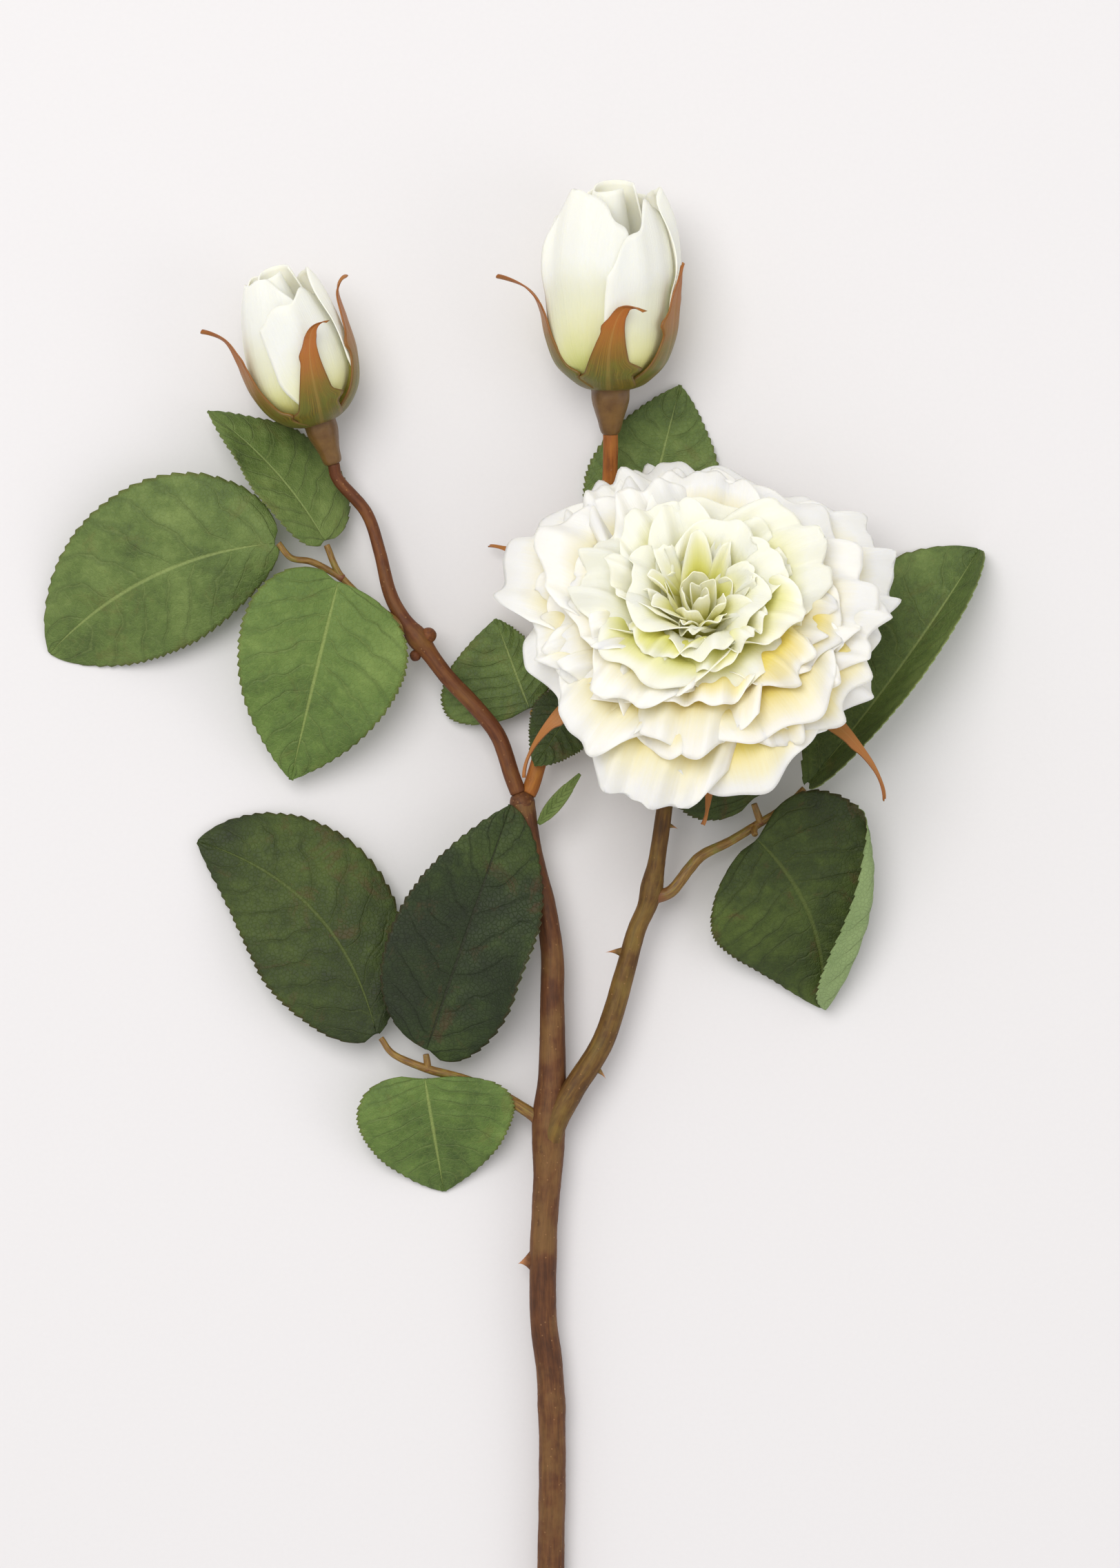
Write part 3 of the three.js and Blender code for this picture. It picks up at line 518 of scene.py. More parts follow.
SHOOT_RADIUS = 2.1
olive_bark = bark_finish("olive_bark", rgb(58, 36, 14), rgb(94, 64, 28), rgb(130, 96, 44), rgb(116, 102, 44))
red_bark = bark_finish("red_bark", rgb(60, 28, 14), rgb(98, 54, 28), rgb(128, 78, 38), rgb(112, 84, 36))
orange_bark = bark_finish(
    "orange_bark", rgb(96, 50, 16), rgb(148, 86, 32), rgb(176, 112, 46), rgb(132, 104, 42))

bloom_shoot_route = Route([
    (-3.2, -98, 7.4),
    (-1.8, -89.5, 9),
    (3.4, -79.6, 9.8),
    (11.3, -66.8, 9.4),
    (16.6, -50, 9.5),
    (19.9, -38.1, 9.8),
    (23.2, -30, 10),
    (26, -14.9, 9.6),
    (28, -1, 9),
    (30.6, 11, 8.2),
    (33.6, 20.6, 8),
    behind(bloom_place, BLOOM_HIP, 6),
    behind(bloom_place, BLOOM_HIP, GAP),
])
left_shoot_route = Route([
    tuple(KNOB),
    (-12.6, 2.4, 10.8),
    (-16, 12.3, 11),
    (-21.8, 19.9, 11.2),
    (-28.9, 27.4, 11.3),
    (-35.8, 36.4, 11.3),
    (-41, 43.4, 10.6),
    (-44.4, 50, 9.8),
    (-46.9, 60.3, 9.2),
    (-50.4, 70.6, 8.6),
    behind(left_bud_place, LEFT_HIP, 5),
    behind(left_bud_place, LEFT_HIP, GAP),
])
right_shoot_route = Route([
    tuple(KNOB),
    (-7.6, -1, 9.8),
    (-5.3, 6.4, 9),
    (-2.7, 15.5, 8),
    (2.9, 33.4, 6.6),
    (7.9, 51.2, 5.6),
    (11.4, 65.5, 5.8),
    (12.7, 75, 7.6),
    behind(right_bud_place, RIGHT_HIP, 6),
    behind(right_bud_place, RIGHT_HIP, GAP),
])


def bloom_shoot_radius(share):
    return SHOOT_RADIUS + 1.1 * (1 - smooth(share / 0.75)) + 0.7 * bell(share, 0.55, 0.03)


def left_shoot_radius(share):
    return SHOOT_RADIUS - 0.5 * smooth((share - 0.4) / 0.4) + 0.9 * bell(share, 0.5, 0.035)


def right_shoot_radius(share):
    return SHOOT_RADIUS - 0.15 * smooth(share)


bloom_shoot = Shape()
add_limb(bloom_shoot, bloom_shoot_route, bloom_shoot_radius, 32, 0.7, rough=0.035, seed=3)
add_prickle(bloom_shoot, bloom_shoot_route, 0.2, -62, 3, PRICKLE_LENGTH * 0.8, spread=1.4)
add_prickle(bloom_shoot, bloom_shoot_route, 0.42, 176, 2.6, PRICKLE_LENGTH * 1.1, spread=1.4)
add_prickle(bloom_shoot, bloom_shoot_route, 0.67, 8, 2.3, PRICKLE_LENGTH * 0.6, spread=1.4)
bloom_shoot.grow("bloom_shoot", olive_bark)

left_bud_shoot = Shape()
add_limb(left_bud_shoot, left_shoot_route, left_shoot_radius, 28, 0.6, rough=0.035, start=0.03, seed=7)
add_knob(left_bud_shoot, (-34.2, 38.6, 11.6), 2.1)
add_knob(left_bud_shoot, (-37.6, 33.4, 11), 1.5)
left_bud_shoot.grow("left_bud_shoot", red_bark)

right_bud_shoot = Shape()
add_limb(right_bud_shoot, right_shoot_route, right_shoot_radius, 28, 0.6, rough=0.035, start=0.03, seed=11)
right_bud_shoot.grow("right_bud_shoot", orange_bark)

# ---- Leaf stalks ----
# Each compound leaf has a thin green-brown stalk, grooved along its top, which forks into the
# short stalks of its leaflets.

STALK_RADIUS = 1.0


def stalk_finish():
    made = material("leaf_stalk")
    _, _, _, grain = Tone.grown("grain")
    share, _, _, _ = Tone.grown("mark")
    streak = Tone.speckle(grain, 3, (1, 1, 0.12), detail=4)
    color = streak.ramp((0.3, rgb(92, 60, 22)), (0.52, rgb(126, 92, 34)), (0.72, rgb(150, 122, 52)))
    color = (Tone.speckle(grain, 0.16).between(0.48, 0.66) * 0.7).over(color, rgb(118, 122, 48))
    color = (1 - share.between(0.0, 0.16)).over(color, rgb(112, 64, 32))
    return dressed(made, color, 0.45 + streak * 0.2, streak, 0.00012, Coat_Weight=0.06)


stalk_skin = stalk_finish()


def grow_stalk(node, branches):
    shape = Shape()
    for points, thick, thin in branches:
        route = Route(points)

        def radius_at(share):
            taper = thick + (thin - thick) * share
            return STALK_RADIUS * taper * (1 + 0.25 * bell(share, 0, 0.06))

        add_limb(shape, route, radius_at, 16, 0.5, rough=0.08, seed=len(shape.verts) * 0.01)
    shape.grow(node, stalk_skin)


grow_stalk("leaf_a_stalk", [
    ([(-36.4, 36.6, 11.3), (-43, 42.5, 11.4), (-50.5, 47.6, 11.8), (-57.2, 54.4, 12.6), (-60.6, 62, 12.8)],
     1.3, 0.8),
    ([(-56.4, 53.4, 12.5), (-64, 57.5, 13.4), (-69.6, 58.6, 14.2), (-73, 62.4, 14.6)], 0.9, 0.8),
])
grow_stalk("leaf_b_stalk", [
    ([(-4, -88.6, 7.4), (-12, -83, 8), (-23.6, -77.4, 8.8), (-35, -74, 9.6), (-43.2, -70.4, 9.6),
      (-46.6, -66.2, 9.4)], 1.7, 0.8),
    ([(-34.4, -74.4, 9.5), (-34.6, -72.4, 9.8), (-34.9, -70.4, 10)], 1, 0.8),
])
grow_stalk("leaf_c_stalk", [
    ([(9.6, 58, 5.5), (13, 58, 4.2), (17, 58.6, 3), (19.8, 59.8, 2.4)], 1.3, 0.8),
])
grow_stalk("leaf_d_stalk", [
    ([(-1.4, 19, 8), (-3.4, 18.4, 9.4), (-5.6, 18.2, 8.6), (-7.4, 18.8, 7.6)], 1.3, 0.8),
    ([(-3, 18.4, 9), (-1, 20, 10.2), (2, 22, 11), (4.4, 22.6, 11.2)], 0.9, 0.8),
])
grow_stalk("leaf_e_stalk", [
    ([(23.6, -29.4, 10), (29, -27.8, 10.3), (33.6, -22, 10.6), (37.2, -18.4, 11), (44.3, -14.8, 11.4),
      (51.5, -10.4, 11.8), (58.6, -5.9, 12), (63.4, -1.2, 12)], 1.7, 0.8),
    ([(52.2, -10.2, 11.8), (51.2, -7.6, 12.6), (50.4, -5.2, 13)], 1, 0.8),
    ([(50.6, -11, 11.7), (50.4, -12.2, 12.8), (50.6, -13.2, 13.6)], 1, 0.8),
])

# ---- Leaflets ----
# Rose leaflets: oval and pointed, finely toothed all round, with a pale midrib and side veins that
# press the blade into soft pillows. The upper side is olive to dark green and a little glossy, the
# underside paler and bluer. Each sits with its foot on its own short stalk.

LEAF_LENGTH = 66


def add_sheet(shape, surface, thickness, u_steps, v_steps, place=None, seed=0.0):
    """A thin closed sheet on surface(u, v). Its mark is u, v and +1 on the upper side, -1 below."""
    grid = []
    for i in range(u_steps + 1):
        row = []
        for j in range(v_steps + 1):
            spot = surface(i / u_steps, 2 * j / v_steps - 1)
            row.append(place @ spot if place else spot)
        grid.append(row)
    widths = [sum((b - a).length for a, b in zip(row, row[1:])) for row in grid]
    skins = []
    for face in (1, -1):
        rows = []
        for i in range(u_steps + 1):
            row = []
            u = i / u_steps
            for j in range(v_steps + 1):
                v = 2 * j / v_steps - 1
                across = v_steps // 2 if widths[i] < 3 else j
                up = grid[min(i + 1, u_steps)][across] - grid[max(i - 1, 0)][across]
                out = grid[i][min(across + 1, v_steps)] - grid[i][max(across - 1, 0)]
                normal = up.cross(out)
                if normal.length:
                    normal.normalize()
                half = 0.5 * (thickness(u, v) if callable(thickness) else thickness)
                row.append(shape.point(grid[i][j] + normal * (half * face), (u, v, seed), (u, v, face)))
            rows.append(row)
        skins.append(rows)
    for rows in skins:
        for one, two in zip(rows, rows[1:]):
            shape.bridge(one, two, False)
    top, under = skins
    shape.bridge(top[0], under[0], False)
    shape.bridge(top[-1], under[-1], False)
    shape.bridge([row[0] for row in top], [row[0] for row in under], False)
    shape.bridge([row[-1] for row in top], [row[-1] for row in under], False)


TURN_RADIUS = 1.6
TURN_ANGLE = 160


def blade(midrib, up, half_width, fold, cup, shoulder=(0, 0), relief=None, turned_at=None):
    """A blade whose halves leave the midrib at their fold angle and bend by their cup angle. The left
    half may be turned up and over along a line turned_at(u) away from the midrib."""
    start, bend, end = (Vector(p) for p in midrib)

    def surface(u, v):
        side = 1 if v < 0 else 0
        across = abs(v)
        middle = start * (1 - u) ** 2 + bend * (2 * u * (1 - u)) + end * u**2
        forward = ((bend - start) * (1 - u) + (end - bend) * u).normalized()
        left = up.cross(forward).normalized()
        above = forward.cross(left)
        width = half_width(u, v)
        first = radians(fold[side])
        curl = radians(cup[side](u) if callable(cup[side]) else cup[side]) or 1e-4
        out = width * (sin(first + curl * across) - sin(first)) / curl
        lift = width * (cos(first) - cos(first + curl * across)) / curl
        swell = relief(u, v) if relief else 0
        beyond = width * across - turned_at(u) if turned_at and side == 0 else 0
        if beyond > 0:
            flat = width * across - beyond
            turn = min(beyond / TURN_RADIUS, radians(TURN_ANGLE))
            rest = beyond - turn * TURN_RADIUS
            out = flat * cos(first) + TURN_RADIUS * sin(turn) + rest * cos(turn) - swell * sin(turn)
            lift = flat * sin(first) + TURN_RADIUS * (1 - cos(turn)) + rest * sin(turn) + swell * cos(turn)
        else:
            lift += swell
        back = shoulder[side] * across**2 * u**0.3 * (1 - u) ** 4
        return middle - forward * back + left * (-out if v < 0 else out) + above * lift

    return surface


def outline(u, swell, close):
    """How wide a leaflet's half is at u, from how soon it swells and how soon it closes."""
    widest = swell / (swell + close)
    return max(0.03, u**swell * (1 - u) ** close / (widest**swell * (1 - widest) ** close))


TEETH = 27
VEINS = 8
LEAN = 0.21


def toothed(left, right, form, seed):
    """Half the width of a leaflet, with small teeth that point to its tip."""

    def half_width(u, v):
        share = (right if v < 0 else left) * LEAF_LENGTH
        width = share * outline(u, *form[1 if v < 0 else 0])
        tooth = (u * TEETH + (0.35 if v < 0 else 0) + 0.5 * sin(seed + 9 * u)) % 1
        edge = max(0, (abs(v) - 0.86) / 0.14)
        size = 0.85 * min(1, 14 * u) * min(1, 10 * (1 - u))
        slow = 0.35 * sin(7 * u + seed * 2.3) * sin(pi * u)
        return width + edge * size * (tooth**0.8 - 0.4) + slow * abs(v) ** 2

    return half_width


def pillows(u, v):
    """The blade swells between its side veins and sinks along them and the midrib."""
    across = abs(v)
    vein = ((u - LEAN * across**1.2) * VEINS) % 1
    swell = 0.5 - 0.5 * cos(2 * pi * vein)
    fade = min(1, across * 5) * (1 - across**3) * min(1, 8 * u) * min(1, 6 * (1 - u))
    slow = 0.45 * sin(6.3 * u + 2.1 * v + 1.2) * across + 0.3 * sin(17 * u + 3 * v) * across**2
    return 0.3 * (swell - 0.6) * fade - 0.28 * exp(-((across / 0.04) ** 2)) + slow


def leaf_finish(name, low, middle, high, vein_color, blotch, blotched, under_low, under_high, ribbed=0.6):
    """Waxy leaf skin with a net of fine veins. The mark says which side of the blade it is."""
    made = material(name)
    u, v, face, _ = Tone.grown("mark")
    place = Tone.node("ShaderNodeTexCoord", None, None, output=3)
    across = abs(v)
    bent = Tone.speckle(place, 90, detail=2) * 0.16
    lane = ((u - across**1.2 * LEAN + bent) * VEINS).math("FRACT")
    side_vein = abs(lane - 0.5).between(0.44, 0.5) * across.between(0.02, 0.08)
    side_vein = side_vein * (1 - across.between(0.7, 0.95))
    midrib = 1 - across.between(0.008, 0.034)
    cloud = Tone.speckle(place, 34, detail=5, rough=0.6, warp=0.3)
    fleck = Tone.speckle(place, 300, detail=4, rough=0.7)
    net = Tone.node("ShaderNodeTexVoronoi", {"feature": "DISTANCE_TO_EDGE"}, {"Vector": place, "Scale": 900})
    mesh_line = 1 - net.between(0.0, 0.14)
    top = (cloud * 0.72 + fleck * 0.28).ramp((0.34, low), (0.5, middle), (0.66, high))
    top = (mesh_line * 0.12).over(top, vein_color)
    top = (side_vein * 0.22).over(top, vein_color)
    # Painted shade: a darker band along each side of a side vein, where the blade sinks into the vein's
    # groove.
    top = (abs(lane - 0.5).between(0.3, 0.46) * across.between(0.02, 0.3) * 0.28).over(top, low)
    stain = Tone.speckle(place, 85, detail=5, rough=0.7, warp=0.6)
    top = (stain.between(0.55, 0.68) * blotched).over(top, blotch)
    top = (across.between(0.95, 1.0) * 0.35).over(top, blotch)
    top = (midrib * ribbed).over(top, vein_color)
    under = cloud.ramp((0.35, under_low), (0.65, under_high))
    under = ((side_vein + mesh_line * 0.3) * 0.3).over(under, vein_color)
    under = (midrib * 0.6).over(under, vein_color)
    color = face.between(-0.2, 0.2).over(under, top)
    relief = fleck * 0.3 - side_vein * 0.6 - mesh_line * 0.3 - midrib * 0.6 + cloud * 0.6
    roughness = 0.5 + cloud * 0.2 + mesh_line * 0.05
    return dressed(made, color, roughness, relief, 0.00025, Specular_IOR_Level=0.35, Subsurface_Weight=0.06,
                   Subsurface_Radius=(0.3, 0.4, 0.15), Subsurface_Scale=0.002)


green_leaf = leaf_finish(
    "green_leaf", rgb(58, 74, 32), rgb(88, 108, 50), rgb(116, 134, 72), rgb(142, 156, 92),
    rgb(100, 88, 42), 0.25, rgb(112, 134, 78), rgb(138, 158, 98))
bright_leaf = leaf_finish(
    "bright_leaf", rgb(62, 82, 34), rgb(92, 116, 52), rgb(116, 138, 70), rgb(146, 160, 90),
    rgb(108, 96, 46), 0.2, rgb(116, 142, 84), rgb(142, 166, 104))
dark_leaf = leaf_finish(
    "dark_leaf", rgb(30, 40, 12), rgb(50, 64, 20), rgb(76, 92, 34), rgb(86, 98, 42),
    rgb(80, 58, 28), 0.5, rgb(112, 134, 84), rgb(134, 154, 102))
deep_leaf = leaf_finish(
    "deep_leaf", rgb(20, 30, 8), rgb(36, 50, 16), rgb(62, 78, 30), rgb(30, 34, 12),
    rgb(70, 46, 22), 0.55, rgb(100, 122, 76), rgb(124, 144, 96), 0.8)

LEAFLETS = {
    "leaf_a_left": (green_leaf, dict(
        foot=(-73.2, 62.8, 14.4), heading=205.2, length=1, rise=-13.9,
        width=(0.31, 0.36), form=((0.7, 0.6), (0.6, 0.8)), bow=-6, arch=3,
        fold=(-4, 10), cup=(-14, -22))),
    "leaf_a_top": (green_leaf, dict(
        foot=(-60.7, 62.6, 12.8), heading=132.1, length=0.69, rise=-3.6,
        width=(0.15, 0.25), bow=-2.5, arch=1, roll=42, fold=(8, 8), cup=(-10, -8))),
    "leaf_a_front": (bright_leaf, dict(
        foot=(-57.3, 53.2, 15.6), heading=256.1, length=0.8, rise=-9,
        width=(0.345, 0.33), arch=3.4, shoulder=(-0.03, 0.2), fold=(7, 12),
        cup=(-12, -14))),
    "leaf_b_left": (dark_leaf, dict(
        foot=(-47.2, -65.6, 9.6), heading=133.3, length=1.04, rise=-8,
        width=(0.325, 0.305), form=((0.55, 0.8), (0.9, 0.75)), shoulder=(0.13, 0.05),
        bow=-10, arch=3, fold=(6, 3), cup=(-12, -26))),
    "leaf_b_top": (deep_leaf, dict(
        foot=(-35, -69.8, 10.2), heading=71, length=1.02, rise=3.8,
        width=(0.29, 0.28), form=((0.5, 0.9), (0.45, 0.62)), shoulder=(-0.03, 0.14),
        arch=1.6, fold=(12, 4), cup=(-14, lambda u: 44 * bell(u, 0.42, 0.2) - 12))),
    "leaf_b_front": (bright_leaf, dict(
        foot=(-35.3, -75.8, 11.6), heading=-81, length=0.46, rise=-11,
        width=(0.33, 0.29), form=((0.42, 0.85), (0.42, 0.8)), shoulder=(-0.05, 0.22),
        arch=1.6, fold=(8, 8), cup=(-12, -22))),
    "leaf_c": (green_leaf, dict(
        foot=(20.2, 60.2, 2.4), heading=75.7, length=0.68, rise=-1.2, width=(0.27, 0.26),
        fold=(2, 2), cup=(-3, -3))),
    "leaf_d_left": (green_leaf, dict(
        foot=(-7.6, 19, 7.5), heading=110.7, length=0.38, rise=-3,
        width=(0.33, 0.11), fold=(-6, 3), cup=(-9, -6))),
    "leaf_d_right": (dark_leaf, dict(
        foot=(5.4, 23, 12.8), heading=237, length=0.32, rise=0.4,
        width=(0.13, 0.13), fold=(3, 3), cup=(-6, -6))),
    "leaf_e_right": (green_leaf, dict(
        foot=(64.2, -0.4, 12.1), heading=53.6, length=1.15, rise=-11.5,
        width=(0.35, 0.24), form=((1, 0.7), (0.5, 0.5)), bow=-1.5, arch=3, roll=-12,
        fold=(6, 46), cup=(-8, 26))),
    "leaf_e_front": (dark_leaf, dict(
        foot=(50.7, -13.6, 13.8), heading=-68.4, length=0.72, rise=-11,
        width=(0.4, 0.385), form=((0.35, 0.6), (0.5, 0.75)), shoulder=(0.2, 0.1),
        bow=5.6, arch=2.6, fold=(4, 6), cup=(-8, -22),
        turned_at=lambda u: LEAF_LENGTH * (0.479 - 0.49 * u))),
    "leaf_e_back": (dark_leaf, dict(
        foot=(50.3, -4.8, 13.1), heading=128, length=0.5, rise=3, width=(0.24, 0.24),
        arch=0.5, fold=(5, 5), cup=(-8, -8))),
}


def leaflet_surface(foot, heading, length, rise, width, fold, cup, bow=0, arch=0, roll=0, seed=0,
                    form=((0.5, 0.9), (0.5, 0.9)), shoulder=(0.1, 0.1), turned_at=None):
    ahead = Vector((cos(radians(heading)), sin(radians(heading)), 0))
    leftward = Vector((-ahead.y, ahead.x, 0))
    start = Vector(foot) + ahead * (GAP + 0.5)
    tip = start + ahead * (length * LEAF_LENGTH) + Vector((0, 0, rise))
    bend = (start + tip) * 0.5 + leftward * (2 * bow) + Vector((0, 0, 2 * arch))
    up = Matrix.Rotation(radians(roll), 3, ahead) @ Vector((0, 0, 1))
    shape = toothed(*width, form, seed)
    back = [share * length * LEAF_LENGTH for share in shoulder]
    return blade((start, bend, tip), up, shape, fold, cup, back, pillows, turned_at)


for order, (node, (skin, leaflet)) in enumerate(LEAFLETS.items()):
    shape = Shape()
    surface = leaflet_surface(**leaflet, seed=order * 1.7)
    steps = TEETH * (5 if leaflet["length"] > 0.6 else 4)
    add_sheet(shape, surface, lambda u, v: 0.42 + 0.5 * exp(-((v / 0.06) ** 2)) * (1 - 0.7 * u), steps, 32)
    shape.grow(node, skin)

# The bract: a short narrow leaf at the second fork, folded along its middle.
bract = Shape()
bract_surface = blade(
    ((-5.6, -10.4, 10.6), (-0.2, -3.9, 11.8), (5.2, 2.6, 13)),
    Vector((0, 0, 1)),
    lambda u, v: 0.5 + 1.6 * sin(pi * u**0.8),
    (28, 28),
    (0, 0),
)
add_sheet(bract, bract_surface, 0.5, 40, 12)
bract.grow("bract", green_leaf)

# ---- Hips and sepals ----
# Under each flower sits its smooth green-brown hip, with five sepals round the rim. On the open
# bloom they hang back and hook; on the buds they clasp the petals and their tips curl away.

HIP_RADIUS = {"bloom": 5.2, "left": 4.2, "right": 5.0}
SEAT_RADIUS = 10
HIP_MARK = (0.12, 0.5, -1)
BUD_TIP_CURL = 0.42


def sepal_finish():
    made = material("sepal_skin")
    u, v, face, _ = Tone.grown("mark")
    place = Tone.node("ShaderNodeTexCoord", None, None, output=3)
    streak = Tone.speckle(Tone.grown("grain")[3], 5, (0.35, 3.2, 1), detail=4, rough=0.6)
    cloud = Tone.speckle(place, 160, detail=4, rough=0.65)
    down = Tone.speckle(place, 2600, detail=2)
    color = streak.ramp((0.3, rgb(70, 60, 10)), (0.5, rgb(110, 94, 20)), (0.7, rgb(142, 118, 32)))
    color = (cloud.between(0.42, 0.6) * 0.7).over(color, rgb(96, 102, 22))
    color = (u.between(0.42, 0.8) * 0.75).over(color, rgb(176, 92, 16))
    color = ((1 - u.between(0.2, 0.45)) * 0.45).over(color, rgb(96, 84, 26))
    color = ((1 - abs(v).between(0.03, 0.14)) * 0.25).over(color, rgb(176, 140, 72))
    color = (abs(v).between(0.88, 1) * 0.5).over(color, rgb(112, 58, 24))
    color = (face.between(0.0, 0.2) * 0.3).over(color, rgb(184, 128, 62))
    on_hip = (1 - u.between(0.121, 0.135)) * u.between(0.115, 0.12)
    color = (on_hip * 0.75).over(color, cloud.ramp((0.35, rgb(88, 50, 24)), (0.65, rgb(122, 80, 42))))
    relief = streak * 0.6 + down * 0.25
    return dressed(made, color, 0.32 + cloud * 0.2, relief, 0.0002, Sheen_Weight=0.02, Subsurface_Weight=0.05,
                   Subsurface_Radius=(0.5, 0.3, 0.1), Subsurface_Scale=0.001)


sepal_skin = sepal_finish()


def profile_through(points):
    places = [Vector((r, h, 0)) for r, h in points]
    ends = [places[0], *places, places[-1]]

    def at(share):
        spans = len(places) - 1
        where = min(max(share, 0) * spans, spans - 1e-9)
        span = int(where)
        return glide(*ends[span:span + 4], where - span)

    return at


def add_turned(shape, points, place, sides=40):
    """A round body turned on the flower's axis, through points of radius and height."""
    profile = profile_through(points)
    steps = 8 * (len(points) - 1)
    rings = []
    for step in range(steps + 1):
        at = profile(step / steps)
        ring = []
        for n in range(sides):
            turn = 2 * pi * n / sides
            uneven = 1 + 0.02 * sin(5 * turn) + 0.012 * noise.noise(Vector((cos(turn) * 3, at.y, 1)))
            radius = max(0.02, at.x) * uneven
            spot = place @ Vector((radius * cos(turn), radius * sin(turn), at.y))
            ring.append(shape.point(spot, (cos(turn) * 0.4, sin(turn) * 0.4, at.y * 0.1), HIP_MARK))
        rings.append(ring)
    ends = [shape.point(place @ Vector((0, 0, profile(end).y)), (0, 0, 0), HIP_MARK) for end in (0, 1)]
    shape.close_round(rings, *ends)


def sepal_surface(points, half_width, hook, seed, curl=0.12):
    profile = profile_through(points)

    def surface(u, v):
        at = profile(u)
        width = half_width * max(0.09, (1 - u) ** 0.8 * (0.55 + 0.9 * sin(pi * u**0.7)))
        lobes = 0.5 * half_width * max(0, sin(17 * u + seed + (1.6 if v < 0 else 0))) ** 9 * bell(u, 0.5, 0.2)
        across = v * (width + lobes * abs(v))
        angle = across / max(at.x, width * 1.2)
        ridge = 0.35 * exp(-((v / 0.15) ** 2)) * (1 - u) - 0.5 * abs(v) ** 2 * sin(9 * u + seed) * u
        return Vector((
            (at.x - ridge) * cos(angle),
            (at.x - ridge) * sin(angle) + hook * u**5,
            at.y - curl * abs(hook) * u**8 + 0.5 * sin(13 * u + seed) * v * u,
        ))

    return surface


def grow_calyx(node, place, hip, sepals, curl=0.12):
    """A hip with its sepals as one piece. Curl says how far a hooked tip turns over."""
    shape = Shape()
    add_turned(shape, hip, place)
    for number, (angle, points, half_width, hook) in enumerate(sepals):
        turned = place @ Matrix.Rotation(radians(angle), 4, "Z")
        surface = sepal_surface(points, half_width, hook, number * 1.9, curl)
        add_sheet(shape, surface, lambda u, v: 0.75 - 0.35 * u, 60, 14, turned, seed=number)
    shape.grow(node, sepal_skin)


BLOOM_SEPALS = (
    (145, 3, 1.12, 4), (203, 12, 0.95, 7), (276, -4, 0.8, 8), (332, -11, 1.04, 9), (72, 2, 0.78, 0))
grow_calyx(
    "bloom_calyx",
    bloom_place,
    [(0, -BLOOM_HIP), (SHOOT_RADIUS + 0.2, -BLOOM_HIP), (HIP_RADIUS["bloom"] * 0.8, -10),
     (HIP_RADIUS["bloom"], -6.5), (HIP_RADIUS["bloom"] * 0.86, -3), (SEAT_RADIUS, -1.4),
     (SEAT_RADIUS, 0), (0, 0.2)],
    [
        (
            angle,
            [(6.5, -1.1), (16, -2.2), (30 * far, -3 - 0.2 * drop), (44 * far, -4 - 0.5 * drop),
             (57 * far, -5 - drop)],
            4.6,
            hook,
        )
        for angle, hook, far, drop in BLOOM_SEPALS
    ],
)

# ---- Buds ----
# Closed buds: a few broad ivory petals wrapped round each other like a scroll, their rims just
# starting to roll back at the tip, round a tightly rolled heart.

PETAL_LAP = 1.5
PETAL_THICKNESS = 0.7


def vary(n, kind):
    """A repeatable small variation between -1 and 1 for the n-th petal."""
    return sin(n * 2.399 + kind * 1.713)


def petal_finish(name, deep, low, middle, rim, green, depth=1.0):
    """Soft petal skin: lit through, with a faint painted glow, finely ribbed lengthways, deeper in colour
    towards its foot.
    The number in a petal's grain says how far up the deep colour reaches; it holds the petal's own tone and
    painted shade for the gaps between rings."""
    made = material(name)
    u, v, _, _ = Tone.grown("mark")
    _, _, seed, _ = Tone.grown("grain")
    place = Tone.node("ShaderNodeTexCoord", None, None, output=3)
    ochre_and_shade = seed.math("FRACT") * depth
    lane = Tone.node("ShaderNodeCombineXYZ", None, {0: v * 9, 1: u * 0.8, 2: seed})
    rib = Tone.speckle(lane, 3.2, detail=4, rough=0.6)
    cloud = Tone.speckle(place, 60, detail=2)
    # Partly painted shade: the deep ochre climbs higher on petals with a larger number in their grain, which
    # mixes their own tone with shade painted for the gaps between rings.
    reach_up = u + (cloud - 0.5) * 0.2 + (rib - 0.5) * 0.1 - ochre_and_shade * 0.5
    color = reach_up.ramp((0.08, deep), (0.26, low), (0.45, middle), (0.62, rim))
    color = ((1 - reach_up.between(0.05, 0.36)) * cloud.between(0.42, 0.6) * 0.5).over(color, green)
    color = (rib.between(0.5, 0.75) * (1 - u.between(0.5, 0.9)) * 0.25).over(color, low)
    color = (u.between(0.88, 0.98) * 0.85).over(color, rim)
    color = (abs(v).between(0.9, 1) * u.between(0.3, 0.6) * 0.8).over(color, rim)
    relief = rib * 0.8 + Tone.speckle(place, 1800, detail=2) * 0.2
    # Painted glow: the petal's own colour fed in as a faint emission, which brightens its shaded gaps.
    return dressed(made, color, 0.62, relief, 0.00016, color, Subsurface_Weight=0.4,
                   Subsurface_Radius=(1.0, 0.85, 0.45), Subsurface_Scale=0.003, Sheen_Weight=0.1,
                   Specular_IOR_Level=0.25, Emission_Strength=0.025)


bud_petal_skin = petal_finish(
    "bud_petal_skin", rgb(204, 198, 108), rgb(224, 220, 162), rgb(234, 232, 200), rgb(242, 241, 226),
    rgb(190, 202, 122))


